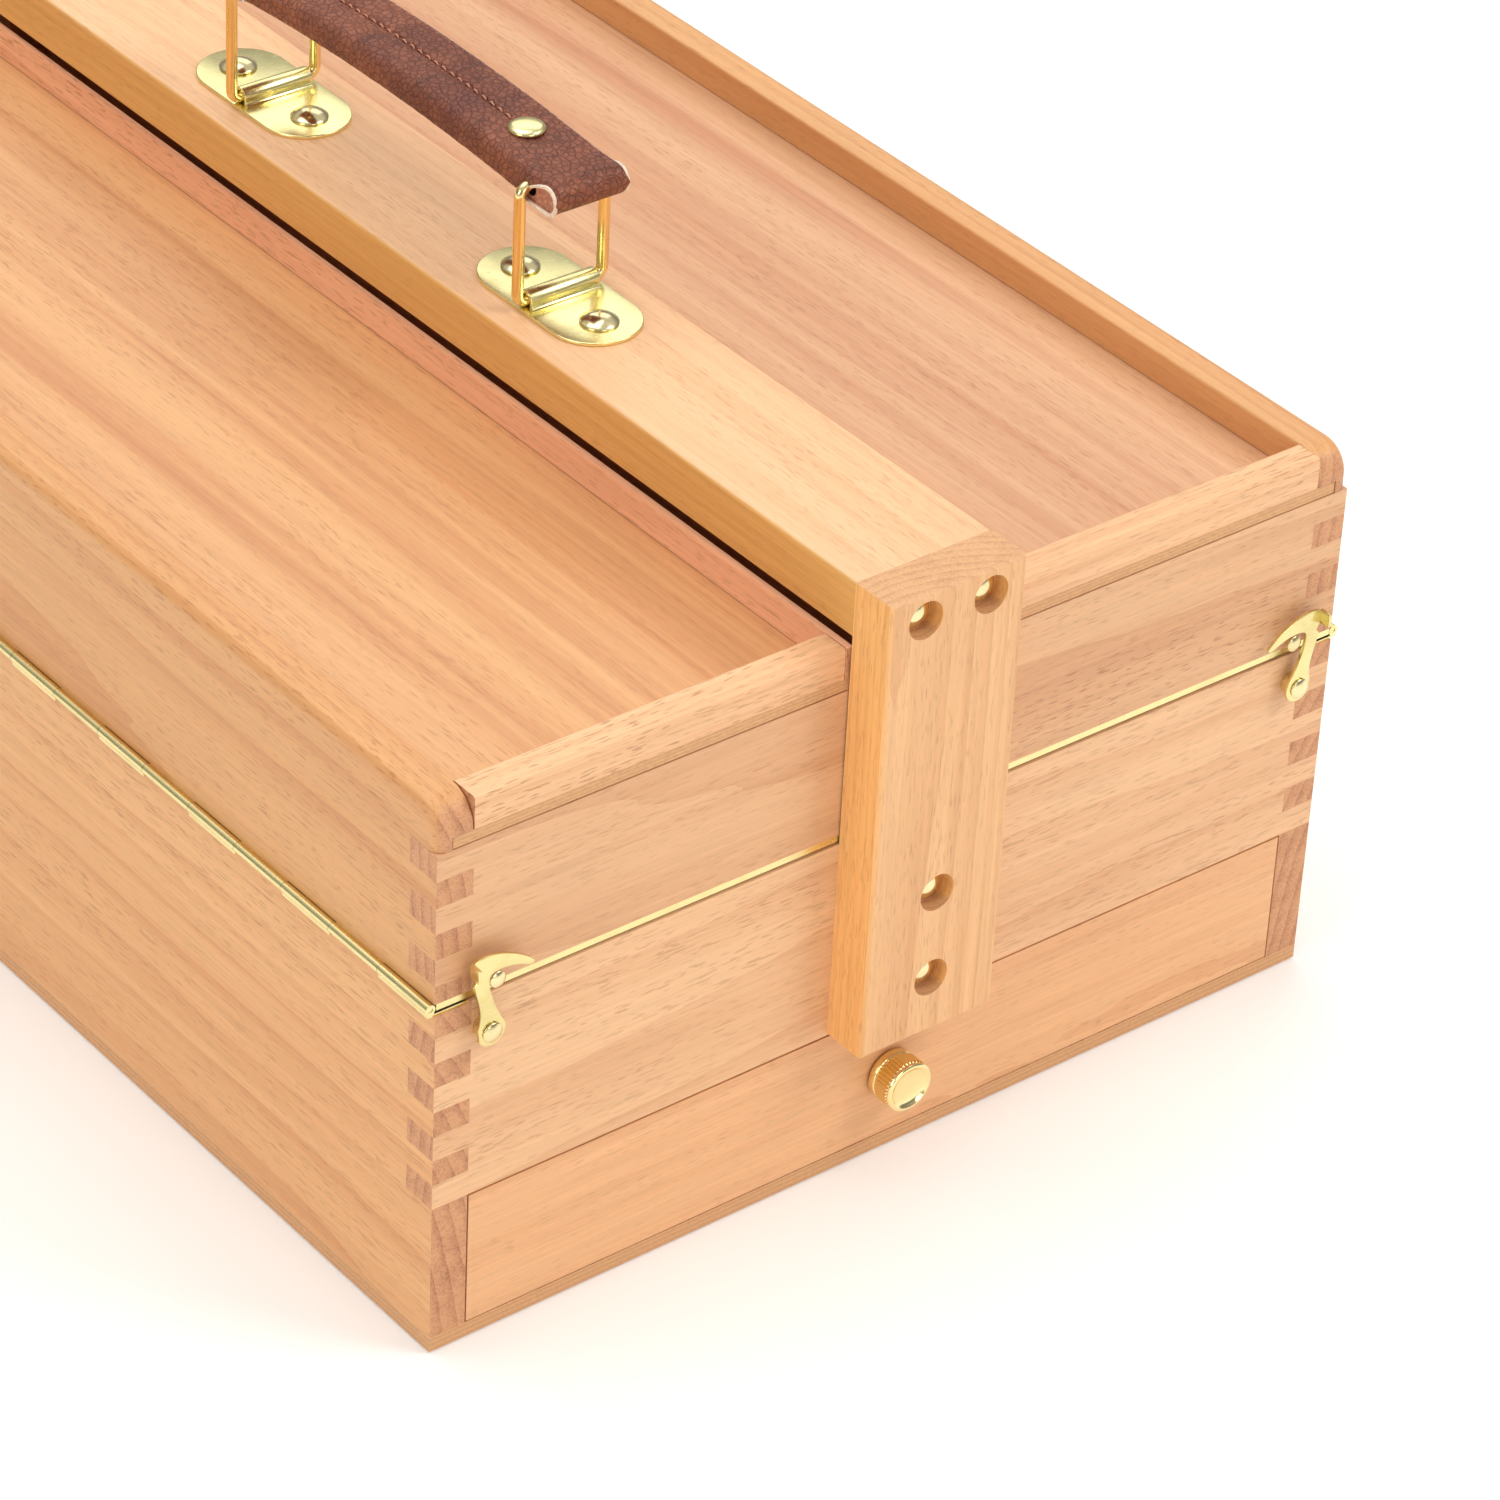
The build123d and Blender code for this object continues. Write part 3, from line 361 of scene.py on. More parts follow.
# board: its wood
woods = {
    "left_side_panel": wood("beech_left_side", "y", 11, ring_mm=4.2, pith=(0.30, 0.02), **SIDE_SHADED),
    "right_side_panel": wood("beech_right_side", "y", 12, ring_mm=4.0, pith=(-0.30, 0.02),
                             **SIDE_SHADED),
    "front_panel": wood("beech_front", "x", 13, ring_mm=3.6, pith=(0.40, -0.03), **FRONT),
    "back_panel": wood("beech_back", "x", 14, ring_mm=3.8, pith=(-0.05, -0.02), **FRONT),
    "bottom_panel": wood("ply_bottom", "y", 15, ply_mm=1.3333, ring_mm=6, **FRONT),
    "compartment_floor": wood("ply_floor", "y", 16, ply_mm=1.3333, ring_mm=6, **FRONT),
    "front_post": wood("beech_front_post", "z", 17, ring_mm=2.6, pith=(0.02, 0.26), **POST),
    "back_post": wood("beech_back_post", "z", 18, ring_mm=2.8, pith=(0.01, -0.2), **POST),
    # the rail's -X faces are made darker and yellower by the left factor: painted shade
    "centre_rail": wood("beech_rail", "y", 19, ring_mm=3.4, pith=(0.03, -0.12),
                        ring_amount=0.22, streak_amount=0.7, left_face_painted_light=(0.887, 0.816, 0.47),
                        flecks=0.26, **RAIL),
    "drawer_front": wood("beech_drawer", "x", 20, ring_mm=4.0, pith=(0.4, -0.01), flecks=0.22,
                         **DRAWER),
    "drawer_left_side": wood("beech_drawer_side", "y", 21, ring_mm=4.0, **FRONT),
    "drawer_back": wood("beech_drawer_back", "x", 22, ring_mm=4.0, **FRONT),
    "drawer_bottom": wood("ply_drawer", "y", 23, ply_mm=1.0, ring_mm=6, **FRONT),
}
woods["drawer_right_side"] = woods["drawer_left_side"]
FRONT_WALL_FLECKS = {"left": 0.26, "right": 0.5}
for k, (side, sign) in enumerate(SIDES):
    woods[side + "_tray_outer_wall"] = wood(
        "beech_%s_outer" % side, "y", 31 + k, ring_mm=3.9, pith=(-sign * 0.33, -0.09), **OUTER_SHADED)
    woods[side + "_tray_inner_wall"] = wood(
        "beech_%s_inner" % side, "y", 33 + k, ring_mm=3.6, pith=(-sign * 0.2, -0.10),
        flecks=0.5, **INNER_REFLECTED)
    woods[side + "_tray_front_wall"] = wood(
        "beech_%s_front" % side, "x", 35 + k, ring_mm=3.5, pith=(0.42, -0.12 + 0.02 * sign),
        flecks=FRONT_WALL_FLECKS[side], **UPPER)
    woods[side + "_tray_back_wall"] = wood(
        "beech_%s_back" % side, "x", 37 + k, ring_mm=3.5, pith=(-0.05, -0.1), **UPPER)
    woods[side + "_lid_panel"] = wood(
        "ply_%s_lid" % side, "y", 39 + k, ply_mm=1.0, ring_mm=7.0, pith=(-sign * 0.09, -0.10),
        ring_amount=0.25, streak_amount=1.2, flecks=0.30, bands=0.85, **LID[side])
    woods[side + "_lid_pull"] = wood(
        "beech_%s_pull" % side, "x", 41 + k, ring_mm=3.0, pith=(0.24, -0.11), flecks=0.5, **RAIL)

BRASS_PLATE = brass("brass_plate", base=(0.93, 0.83, 0.40), rough=0.24, stain=0.3)
BRASS_WIRE = brass("brass_wire", base=(0.93, 0.74, 0.34), rough=0.17, stain=0.2)
BRASS_SCREW = brass("brass_screw", base=(0.86, 0.74, 0.42), rough=0.2, stain=0.5)
BRASS_KNOB = brass("brass_knob", base=(0.92, 0.78, 0.40), rough=0.15, stain=0.2)
# painted shade: near-black brass that lines the screws' cross recesses
BRASS_RECESS_SHADE = brass("brass_recess_painted_shade", base=(0.10, 0.07, 0.03), rough=0.6, stain=0.5)
BRASS_HOOK = brass("brass_hook", base=(0.80, 0.70, 0.33), rough=0.22, stain=0.35)
BRASS_STRIP = brass("brass_strip", base=(0.86, 0.75, 0.37), rough=0.28, brushed=True)
LEATHER = leather("leather_brown")
FLESH = plain("leather_flesh", (206, 146, 118), (170, 108, 82),
              scale=1400.0, rough=0.85, bump=0.6, distance=0.0003)
# painted shade: near-black lining for the deep hollow cut into each strap end
HOLLOW_SHADE = plain("strap_hollow_painted_shade", (46, 26, 18), (30, 17, 12), scale=900.0, rough=0.8)
CUT_EDGE = plain("leather_cut_edge", (246, 232, 212), (226, 200, 172),
                 scale=1800.0, rough=0.75, bump=0.4)
THREAD = plain("thread", (206, 144, 114), (160, 100, 76), scale=3000.0, rough=0.7, bump=0.5)


# ---------------------------------------------------------------- mesh helpers

def link_mesh(name, mesh):
    obj = bpy.data.objects.new(name, mesh)
    bpy.context.scene.collection.objects.link(obj)
    return obj


def mesh_object(name, verts, faces, material, smooth=True):
    """Object from vertices in metres, doubles merged and normals outwards."""
    mesh = bpy.data.meshes.new(name)
    mesh.from_pydata([tuple(v) for v in verts], [], faces)
    mesh.materials.append(material)
    bm = bmesh.new()
    bm.from_mesh(mesh)
    bmesh.ops.remove_doubles(bm, verts=bm.verts, dist=1e-7)
    bmesh.ops.recalc_face_normals(bm, faces=bm.faces)
    bm.to_mesh(mesh)
    bm.free()
    for polygon in mesh.polygons:
        polygon.use_smooth = smooth
    return link_mesh(name, mesh)


def axes_matrix(x, y, z, origin):
    """Matrix with the given axes, at an origin in metres."""
    matrix = Matrix((x, y, z)).transposed().to_4x4()
    matrix.translation = Vector(origin)
    return matrix


def facing(origin, direction):
    """Matrix at origin (mm) whose local Z is direction, a unit vector square to X."""
    x, z = Vector((1, 0, 0)), Vector(direction)
    return axes_matrix(x, z.cross(x), z, [c * MM for c in origin])


def arc(cx, cy, radius, start, end, steps, radius_y=None):
    """Points of an arc, both ends included; angles in degrees."""
    points = []
    for i in range(steps + 1):
        a = math.radians(start + (end - start) * i / steps)
        points.append((cx + radius * math.cos(a), cy + (radius_y or radius) * math.sin(a)))
    return points


def between(start, end, shares, rise=0.0):
    """Points at the given shares of the way, bowed up by rise halfway."""
    return [(start[0] + (end[0] - start[0]) * t,
             start[1] + (end[1] - start[1]) * t + rise * math.sin(math.pi * t)) for t in shares]


def loft(rows, count, base=0, closed=False):
    """Quads joining successive loops of count vertices."""
    faces = []
    for i in range(rows if closed else rows - 1):
        a, b = base + i * count, base + (i + 1) % rows * count
        for k in range(count):
            j = (k + 1) % count
            faces.append((a + k, a + j, b + j, b + k))
    return faces


def capped_loft(rows, count):
    return loft(rows, count) + [tuple(range(count)),
                                tuple(range(rows * count - 1, (rows - 1) * count - 1, -1))]


def revolve(name, profile, material, segments=72, grooves=(0,)):
    """Profile (radius, z) in mm turned round Z; a third column scales the grooves there."""
    verts, faces, loops = [], [], []
    for radius, z, *share in profile:
        depth = share[0] if share else 0
        count = segments if radius else 1
        loops.append(range(len(verts), len(verts) + count))
        for i in range(count):
            a = 2 * math.pi * i / segments
            r = radius - depth * grooves[i % len(grooves)] if radius else 0
            verts.append((r * MM * math.cos(a), r * MM * math.sin(a), z * MM))
    for a, b in zip(loops, loops[1:]):
        for i in range(segments):
            j = (i + 1) % segments
            if len(a) == 1:
                faces.append((a[0], b[i], b[j]))
            elif len(b) == 1:
                faces.append((a[i], b[0], a[j]))
            else:
                faces.append((a[i], b[i], b[j], a[j]))
    return mesh_object(name, verts, faces, material)


def prism(name, outline, start, end, axis, material, smooth=True):
    """Closed outline (mm) extruded along an axis; its columns are the other two axes."""
    count = len(outline)
    verts = []
    for depth in (start, end):
        for point in outline:
            corner = list(point)
            corner.insert("xyz".index(axis), depth)
            verts.append([c * MM for c in corner])
    faces = [tuple(range(count)), tuple(range(2 * count - 1, count - 1, -1))]
    for i in range(count):
        j = (i + 1) % count
        faces.append((i, j, count + j, count + i))
    return mesh_object(name, verts, faces, material, smooth)


def shade(obj, angle):
    """Smooth shading, with edges sharper than the angle kept sharp."""
    bm = bmesh.new()
    bm.from_mesh(obj.data)
    for edge in bm.edges:
        edge.smooth = not (len(edge.link_faces) == 2
                           and edge.calc_face_angle(0.0) > math.radians(angle))
    for face in bm.faces:
        face.smooth = True
    bm.to_mesh(obj.data)
    bm.free()


def apply_modifiers(obj):
    depsgraph = bpy.context.evaluated_depsgraph_get()
    mesh = bpy.data.meshes.new_from_object(obj.evaluated_get(depsgraph))
    obj.modifiers.clear()
    obj.data = mesh


def add_bevel(obj, name, width, segments, angle):
    modifier = obj.modifiers.new(name, "BEVEL")
    modifier.width = width * MM
    modifier.segments = segments
    modifier.limit_method = "ANGLE"
    modifier.angle_limit = math.radians(angle)


def bevel(obj, width, segments, angle, sharp=30):
    """Applied bevel, then shading that keeps edges above sharp degrees."""
    add_bevel(obj, "bevel", width, segments, angle)
    apply_modifiers(obj)
    shade(obj, sharp)


def drop(*objects):
    for obj in objects:
        bpy.data.objects.remove(obj, do_unlink=True)


def cut(obj, cutter):
    """Subtract the cutter, whose material lines the cut."""
    modifier = obj.modifiers.new("cut", "BOOLEAN")
    modifier.operation = "DIFFERENCE"
    modifier.solver = "EXACT"
    modifier.object = cutter
    modifier.material_mode = "TRANSFER"
    apply_modifiers(obj)
    drop(cutter)


def merge(name, objects, materials):
    """Join the meshes into one object and remove the originals."""
    bm = bmesh.new()
    for obj in objects:
        bm.from_mesh(obj.data)
    mesh = bpy.data.meshes.new(name)
    bm.to_mesh(mesh)
    bm.free()
    for material in materials:
        mesh.materials.append(material)
    drop(*objects)
    return link_mesh(name, mesh)


def register(obj, body, node):
    """Tell the frame what the object moves with and which CAD piece it replaces."""
    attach(obj, body)
    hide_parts(node)


def copies(name, prototype, places, body, node):
    """One object of copies at the given (matrix, turn in degrees) places."""
    bm = bmesh.new()
    for matrix, turn in places:
        placed = bmesh.new()
        placed.from_mesh(prototype.data)
        placed.transform(matrix @ Matrix.Rotation(math.radians(turn), 4, "Z"))
        mesh = bpy.data.meshes.new("copy")
        placed.to_mesh(mesh)
        placed.free()
        bm.from_mesh(mesh)
        bpy.data.meshes.remove(mesh)
    mesh = bpy.data.meshes.new(name)
    bm.to_mesh(mesh)
    bm.free()
    for material in prototype.data.materials:
        mesh.materials.append(material)
    register(link_mesh(name, mesh), body, node)


# ---------------------------------------------------------------- CAD pieces that stay

def set_material(obj, material):
    obj.data.materials.clear()
    obj.data.materials.append(material)


def arris_width(name):
    if "lid_panel" in name or "bottom" in name:
        return 0.18
    if "post" in name or "rail" in name or "pull" in name:
        return 0.45
    return 0.28


for name, material in woods.items():
    set_material(nodes[name], material)
    add_bevel(nodes[name], "arris", arris_width(name), segments=2, angle=40)

for name in ("left_hinge_leaf", "right_hinge_leaf", "left_hinge_pin", "right_hinge_pin",
             "left_tray_base_plate", "right_tray_base_plate"):
    set_material(nodes[name], BRASS_STRIP)
for name in ("hook_spacers", "knob_screw"):
    set_material(nodes[name], BRASS_SCREW)


# ---------------------------------------------------------------- screws and rivets

def cross_cutter(arm, width, depth, top):
    """Two crossed tapering blocks that cut a screw's recess, mouth at z = top; their near-black
    brass lines the recess as painted shade.
    """
    levels = ((top + 1.0, arm, width * 1.15), (top - depth, arm * 0.45, width * 0.7))
    block = [(0, 1, 2, 3), (7, 6, 5, 4), (0, 4, 5, 1), (1, 5, 6, 2), (2, 6, 7, 3), (3, 7, 4, 0)]
    verts, faces = [], []
    for turned in (False, True):
        base = len(verts)
        for z, reach, half_width in levels:
            for sx, sy in ((-1, -1), (1, -1), (1, 1), (-1, 1)):
                x, y = sx * reach, sy * half_width
                if turned:
                    x, y = -y, x
                verts.append((x * MM, y * MM, z * MM))
        faces += [tuple(base + i for i in quad) for quad in block]
    return mesh_object("cutter", verts, faces, BRASS_RECESS_SHADE, smooth=False)


def screw(radius, height, rim, neck_radius, neck_length, arm, width, depth):
    """Domed cross-recess head standing on z = 0, its neck below."""
    dome_radius = (radius ** 2 + (height - rim) ** 2) / (2 * (height - rim))
    dome_steps, dome_share = 14, 0.985
    profile = [(0.0, height)]
    for i in range(1, dome_steps + 1):
        r = radius * i / dome_steps * dome_share
        profile.append((r, height - dome_radius + math.sqrt(dome_radius ** 2 - r * r)))
    profile += [(radius, rim * 0.85), (radius, rim * 0.35), (radius * 0.96, 0.0),
                (neck_radius, 0.0), (neck_radius, -neck_length), (0.0, -neck_length)]
    obj = revolve("screw", profile, BRASS_SCREW, 48)
    cut(obj, cross_cutter(arm, width, depth, height))
    bevel(obj, width=0.06, segments=2, angle=38, sharp=40)
    return obj


# x, z and turn in degrees, on the front and back faces
POST_SCREWS = [(-9.6, 163.0, 18), (9.6, 163.0, 52), (0.0, 83.4, 75), (0.0, 58.7, 8)]
POST_SCREW_Y = 208.4
# end of the box, end of the plate, turn in degrees
PLATE_SCREWS = [(-1, -1, 25), (-1, 1, 64), (1, -1, 10), (1, 1, 40)]
HOOK_SCREW_Y = -203.65
CATCH_SCREW = (119.85, -202.3, 102.6)
UP, TO_FRONT = (0, 0, 1), (0, -1, 0)

post_screw = screw(radius=4.2, height=2.5, rim=0.5, neck_radius=1.7, neck_length=8.2,
                   arm=2.5, width=0.52, depth=1.7)
copies("vis_post_screws", post_screw,
       [(facing((x, end * POST_SCREW_Y, z), (0, end, 0)), turn + 11 * end)
        for end in (-1, 1) for x, z, turn in POST_SCREWS], "case", "post_screws")
plate_screw = screw(radius=4.9, height=2.4, rim=0.5, neck_radius=1.7, neck_length=1.0,
                    arm=2.9, width=0.58, depth=1.8)
copies("vis_plate_screws", plate_screw,
       [(facing((0, end * RING_Y + tip * PLATE_SCREW_OFFSET, PLATE_TOP_Z), UP), turn)
        for end, tip, turn in PLATE_SCREWS], "case", "handle_plate_screws")
hook_screw = screw(radius=2.6, height=1.2, rim=0.45, neck_radius=1.2, neck_length=3.6,
                   arm=1.75, width=0.46, depth=0.9)
copies("vis_hook_screws", hook_screw,
       [(facing((sign * HOOK_X, HOOK_SCREW_Y, HOOK_Z), TO_FRONT), 20 + 30 * sign)
        for side, sign in SIDES], "case", "hook_screws")
catch_screw = screw(radius=2.2, height=1.1, rim=0.4, neck_radius=1.1, neck_length=2.6,
                    arm=1.5, width=0.40, depth=0.8)
for side, sign in SIDES:
    x, y, z = CATCH_SCREW
    copies("vis_%s_catch_screw" % side, catch_screw,
           [(facing((sign * x, y, z), TO_FRONT), 35 * sign)],
           side + "_tray", side + "_catch_screw")
drop(post_screw, plate_screw, hook_screw, catch_screw)

# radius, z: low dome with a small flange, then the shank and its spread foot
RIVET_PROFILE = [
    (0, 1.72), (1.0, 1.70), (2.0, 1.63), (2.9, 1.50), (3.6, 1.32), (4.15, 1.08), (4.5, 0.78),
    (4.66, 0.45), (4.68, 0.15), (4.6, 0.0), (4.3, -0.12), (1.4, -0.12), (1.4, -7.6),
    (3.2, -7.7), (3.4, -8.0), (3.2, -8.5), (0, -8.6)]
RIVET_Z = 209.35
rivet = revolve("rivet", RIVET_PROFILE, BRASS_PLATE)
shade(rivet, 50)
copies("vis_strap_rivets", rivet, [(facing((0, y, RIVET_Z), UP), 0) for y in (-RIVET_Y, RIVET_Y)],
       "strap", "strap_rivets")
drop(rivet)


# ---------------------------------------------------------------- knob

KNOB_RADIUS = 6.75
KNOB_TEETH = 40
# depth of one knurl groove, round its share of the rim
KNURL = (0.52, 0.42, 0.20, 0.04, 0.0, 0.04, 0.20, 0.42)
# radius, height, share of the knurl: dished face and lip, knurled band, foot
KNOB_PROFILE = [
    (0, 7.52), (0.8, 7.53), (1.6, 7.57), (2.4, 7.64), (3.2, 7.75), (4.0, 7.91), (4.6, 8.1),
    (5.05, 8.34), (5.35, 8.6), (5.65, 8.8), (6.0, 8.8), (6.35, 8.68), (6.6, 8.45), (6.7, 8.15),
    (6.62, 7.85), (6.45, 7.68), (6.42, 7.6), (6.55, 7.5, 0.35)]
KNOB_PROFILE += [(KNOB_RADIUS, z, 1) for z in (7.3, 6.6, 5.9, 5.2, 4.5, 3.8, 3.2)]
KNOB_PROFILE += [
    (6.55, 3.0, 0.35), (6.4, 2.9), (6.38, 2.75), (6.6, 2.6), (6.72, 2.3), (KNOB_RADIUS, 1.7),
    (6.7, 1.1), (6.5, 0.7), (6.15, 0.45), (4.6, 0.3), (4.5, 0.02), (0, 0.02)]
KNOB_AT = (0, -200, 22.9)

knob = revolve("vis_drawer_knob", KNOB_PROFILE, BRASS_KNOB, KNOB_TEETH * len(KNURL), KNURL)
shade(knob, 28)
knob.data.transform(facing(KNOB_AT, TO_FRONT))
register(knob, "drawer", "drawer_knob")


# ---------------------------------------------------------------- handle plates and rings

def handle_plate(end, y):
    """Round-ended plate with a folded barrel round the ring's lower bar."""
    half_length, end_radius = 25.7, 12.2
    reach = half_length - end_radius
    outline = (arc(0, y + reach, end_radius, 0, 180, 32)
               + arc(0, y - reach, end_radius, 180, 360, 32))
    plate = prism("plate", outline, 170.02, PLATE_TOP_Z, "z", BRASS_PLATE)
    bevel(plate, width=0.28, segments=3, angle=35)

    # barrel section: fillets rise out of the plate on both sides of the wire
    foot, fillet, bore, base_z, half_width = 3.7, 1.15, 1.6, 170.6, 10.3
    fillet_z = 170.9 + fillet
    outline = arc(y - foot, fillet_z, fillet, -90, 0, 6)
    outline += arc(y, RING_BAR_Z, foot - fillet, 180, 0, 24, radius_y=2.52)
    outline += arc(y + foot, fillet_z, fillet, 180, 270, 6)
    outline += [(y + foot, base_z), (y + bore, base_z)]
    outline += arc(y, RING_BAR_Z, bore, 0, 180, 24)
    outline += [(y - bore, base_z), (y - foot, base_z)]
    barrel = prism("barrel", outline, -half_width, half_width, "x", BRASS_PLATE)
    bevel(barrel, width=0.18, segments=2, angle=50)
    register(merge("vis_%s_handle_plate" % end, [plate, barrel], [BRASS_PLATE]),
             "case", end + "_handle_plate")


def handle_ring(end, y):
    """Rectangular wire ring with rounded corners, standing in the XZ plane."""
    half_width, corner, wire_radius, segments = 12.7, 2.4, 1.5, 28
    x, low, high = half_width - corner, RING_BAR_Z + corner, RING_TOP_Z - corner
    path = []
    for cx, cz, start in ((x, low, -90), (x, high, 0), (-x, high, 90), (-x, low, 180)):
        path += arc(cx, cz, corner, start, start + 90, 12)
    across = Vector((0, 1, 0))
    verts = []
    for i, (px, pz) in enumerate(path):
        before, after = path[i - 1], path[(i + 1) % len(path)]
        tangent = Vector((after[0] - before[0], 0, after[1] - before[1])).normalized()
        outward = tangent.cross(across)
        centre = Vector((px, y, pz))
        for k in range(segments):
            a = 2 * math.pi * k / segments
            point = centre + wire_radius * (math.cos(a) * outward + math.sin(a) * across)
            verts.append([c * MM for c in point])
    obj = mesh_object("vis_%s_ring" % end, verts, loft(len(path), segments, closed=True),
                      BRASS_WIRE)
    register(obj, end + "_ring", end + "_handle_ring")


ENDS = (("front", -RING_Y), ("back", RING_Y))
for end, y in ENDS:
    handle_plate(end, y)
for end, y in ENDS:
    handle_ring(end, y)


# ---------------------------------------------------------------- hooks

# left hook's outline, x and z, in runs from the eye up and over to the tip and back
HOOK_OUTER = [(-125.55, 90.9), (-125.0, 93.6), (-125.2, 96.6), (-126.0, 100.0), (-127.0, 103.9)]
HOOK_STEP = [(-126.0, 104.9), (-126.6, 106.4), (-127.7, 108.0)]
HOOK_TOP = [(-127.75, 109.6), (-126.2, 110.6), (-123.2, 110.9), (-119.2, 110.1),
            (-115.2, 108.3), (-112.0, 106.2), (-110.3, 104.6)]
HOOK_TIP = [(-110.5, 103.9), (-111.3, 103.75)]
HOOK_UNDER = [(-112.2, 104.1), (-114.8, 105.2), (-118.0, 105.95), (-120.9, 105.9),
              (-122.4, 105.1), (-122.75, 103.4), (-122.3, 100.6), (-121.0, 96.6),
              (-119.4, 93.0), (-118.6, 91.6)]
HOOK_EYE_RADIUS = 3.9
# thumb tab, centred at x and z: y and amount of taper, out from the hook
TAB_PATH = [(-203.0, 0.0), (-204.2, 0.1), (-205.3, 0.35), (-206.4, 0.8)]
TAB_X, TAB_Z = 127.45, 108.4
TAB_HALF_X, TAB_HALF_Z = 0.45, 1.9
# radius, height
WASHER_PROFILE = [(1.35, 0.0), (3.2, 0.0), (3.35, 0.1), (3.3, 0.3), (3.0, 0.36), (1.35, 0.3)]


def smooth_path(points, steps):
    """Catmull-Rom curve through an open list of points."""
    padded = [points[0]] + points + [points[-1]]
    path = []
    for quad in zip(padded, padded[1:], padded[2:], padded[3:]):
        for k in range(steps):
            t = k / steps
            path.append(tuple(
                0.5 * (2 * b + (c - a) * t + (2 * a - 5 * b + 4 * c - d) * t * t
                       + (3 * b - a - 3 * c + d) * t ** 3) for a, b, c, d in zip(*quad)))
    path.append(points[-1])
    return path


def hook(side, sign):
    """Flat hook with a folded thumb tab and a washer round its eye."""
    outline = smooth_path(HOOK_OUTER, 6) + HOOK_STEP + smooth_path(HOOK_TOP, 6) + HOOK_TIP
    outline += smooth_path(HOOK_UNDER, 6)
    outline += arc(-HOOK_X, HOOK_Z, HOOK_EYE_RADIUS, 28, -160, 20)[1:-1]
    flat = prism("flat", [(-sign * x, z) for x, z in outline], -202.62, -203.58, "y", BRASS_HOOK)
    bevel(flat, width=0.2, segments=2, angle=30)

    path = smooth_path(TAB_PATH, 4)
    verts = []
    for y, taper in path:
        for sx, sz in ((-1, -1), (1, -1), (1, 1), (-1, 1)):
            verts.append((-sign * (-TAB_X + sx * TAB_HALF_X) * MM, y * MM,
                          (TAB_Z + sz * TAB_HALF_Z * (1 - 0.12 * taper)) * MM))
    tab = mesh_object("tab", verts, capped_loft(len(path), 4), BRASS_HOOK)
    bevel(tab, width=0.15, segments=2, angle=40)

    washer = revolve("washer", WASHER_PROFILE, BRASS_HOOK, 48)
    shade(washer, 30)
    washer.data.transform(facing((sign * HOOK_X, -202.25, HOOK_Z), TO_FRONT))
    register(merge("vis_%s_hook" % side, [flat, tab, washer], [BRASS_HOOK]),
             side + "_hook", side + "_hook")


for side, sign in SIDES:
    hook(side, sign)


# ---------------------------------------------------------------- leather strap

STRAP_END = 68.9           # |y| where the rounded ends start
STRAP_END_Z = 204.0        # centre height of the rounded ends
STRAP_END_RADIUS = 4.1
STRAP_HALF_WIDTH = 10.9
STRAP_ROWS, STRAP_SECTION = ((380, 200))
STRAP_TURN_ROWS = 14


def strap_top(y):
    """Height of the arched top between the rings."""
    crown_foot, crown_rise = 208.15, 2.7
    return crown_foot + crown_rise * (1 - (y / RING_Y) ** 2)


def strap_section(y):
    """Rounded box across the strap: its (x, z) points, top, top corner radius, end share."""
    over = max(0.0, abs(y) - STRAP_END)
    cap = math.sqrt(max(0.0, 1 - (over / STRAP_END_RADIUS) ** 2))
    if over > 0:
        top = STRAP_END_Z + STRAP_END_RADIUS * cap
        bottom = STRAP_END_Z - STRAP_END_RADIUS * cap
    else:
        to_end = STRAP_END - abs(y)
        top = strap_top(y) if abs(y) < RING_Y else 208.1 + 0.05 * to_end / (STRAP_END - RING_Y)
        # the strap is 8.2 thick at its ends and thins by 0.5 over 14 mm
        bottom = top - (8.2 - 0.5 * min(1.0, to_end / 14.0))
    height = top - bottom
    upper, lower = min(2.3, height * 0.48), min(1.5, height * 0.48)   # corner radii

    corner_count = STRAP_SECTION // 10
    top_count = STRAP_SECTION // 2 - 2 * corner_count
    low_count = STRAP_SECTION // 5
    side_count = (STRAP_SECTION - 4 * corner_count - top_count - low_count) // 2

    def line(start, end, count):
        return between(start, end, [i / count for i in range(count)])

    def corner(x, z, radius, start):
        return arc(x, z, radius, start, start - 90, corner_count)[:-1]

    half = STRAP_HALF_WIDTH
    outline = line((-half + upper, top), (half - upper, top), top_count)
    outline += corner(half - upper, top - upper, upper, 90)
    outline += line((half, top - upper), (half, bottom + lower), side_count)
    outline += corner(half - lower, bottom + lower, lower, 0)
    outline += line((half - lower, bottom), (-half + lower, bottom), low_count)
    outline += corner(-half + lower, bottom + lower, lower, -90)
    outline += line((-half, bottom + lower), (-half, top - upper), side_count)
    outline += corner(-half + upper, top - upper, upper, 180)
    return outline, top, upper, cap


def strap_relief(x, y, z):
    """Height added to the top: padding, seam, rivet dips and wrinkles."""
    # padding either side of the seam
    height = 0.30 * math.exp(-((abs(x) - 4.4) / 3.4) ** 2)
    # narrow seam groove in a shallow dip, fading out near |y| = 41.5
    run = 1 / (1 + math.exp((abs(y) - 41.5) / 1.2))
    height -= run * (0.66 * math.exp(-(x / 0.6) ** 2) + 0.14 * math.exp(-(x / 2.4) ** 2))
    # dip under each rivet, 5.8 in radius
    height -= 0.30 * math.exp(-(math.hypot(x, abs(y) - RIVET_Y) / 5.8) ** 4)
    # coarse and fine wrinkles
    height += 0.15 * noise.noise(Vector((x * 0.16, y * 0.5, z * 0.3 + 4)))
    height += 0.10 * noise.noise(Vector((x * 0.5, y * 0.9, z * 0.8 + 9)))
    return height


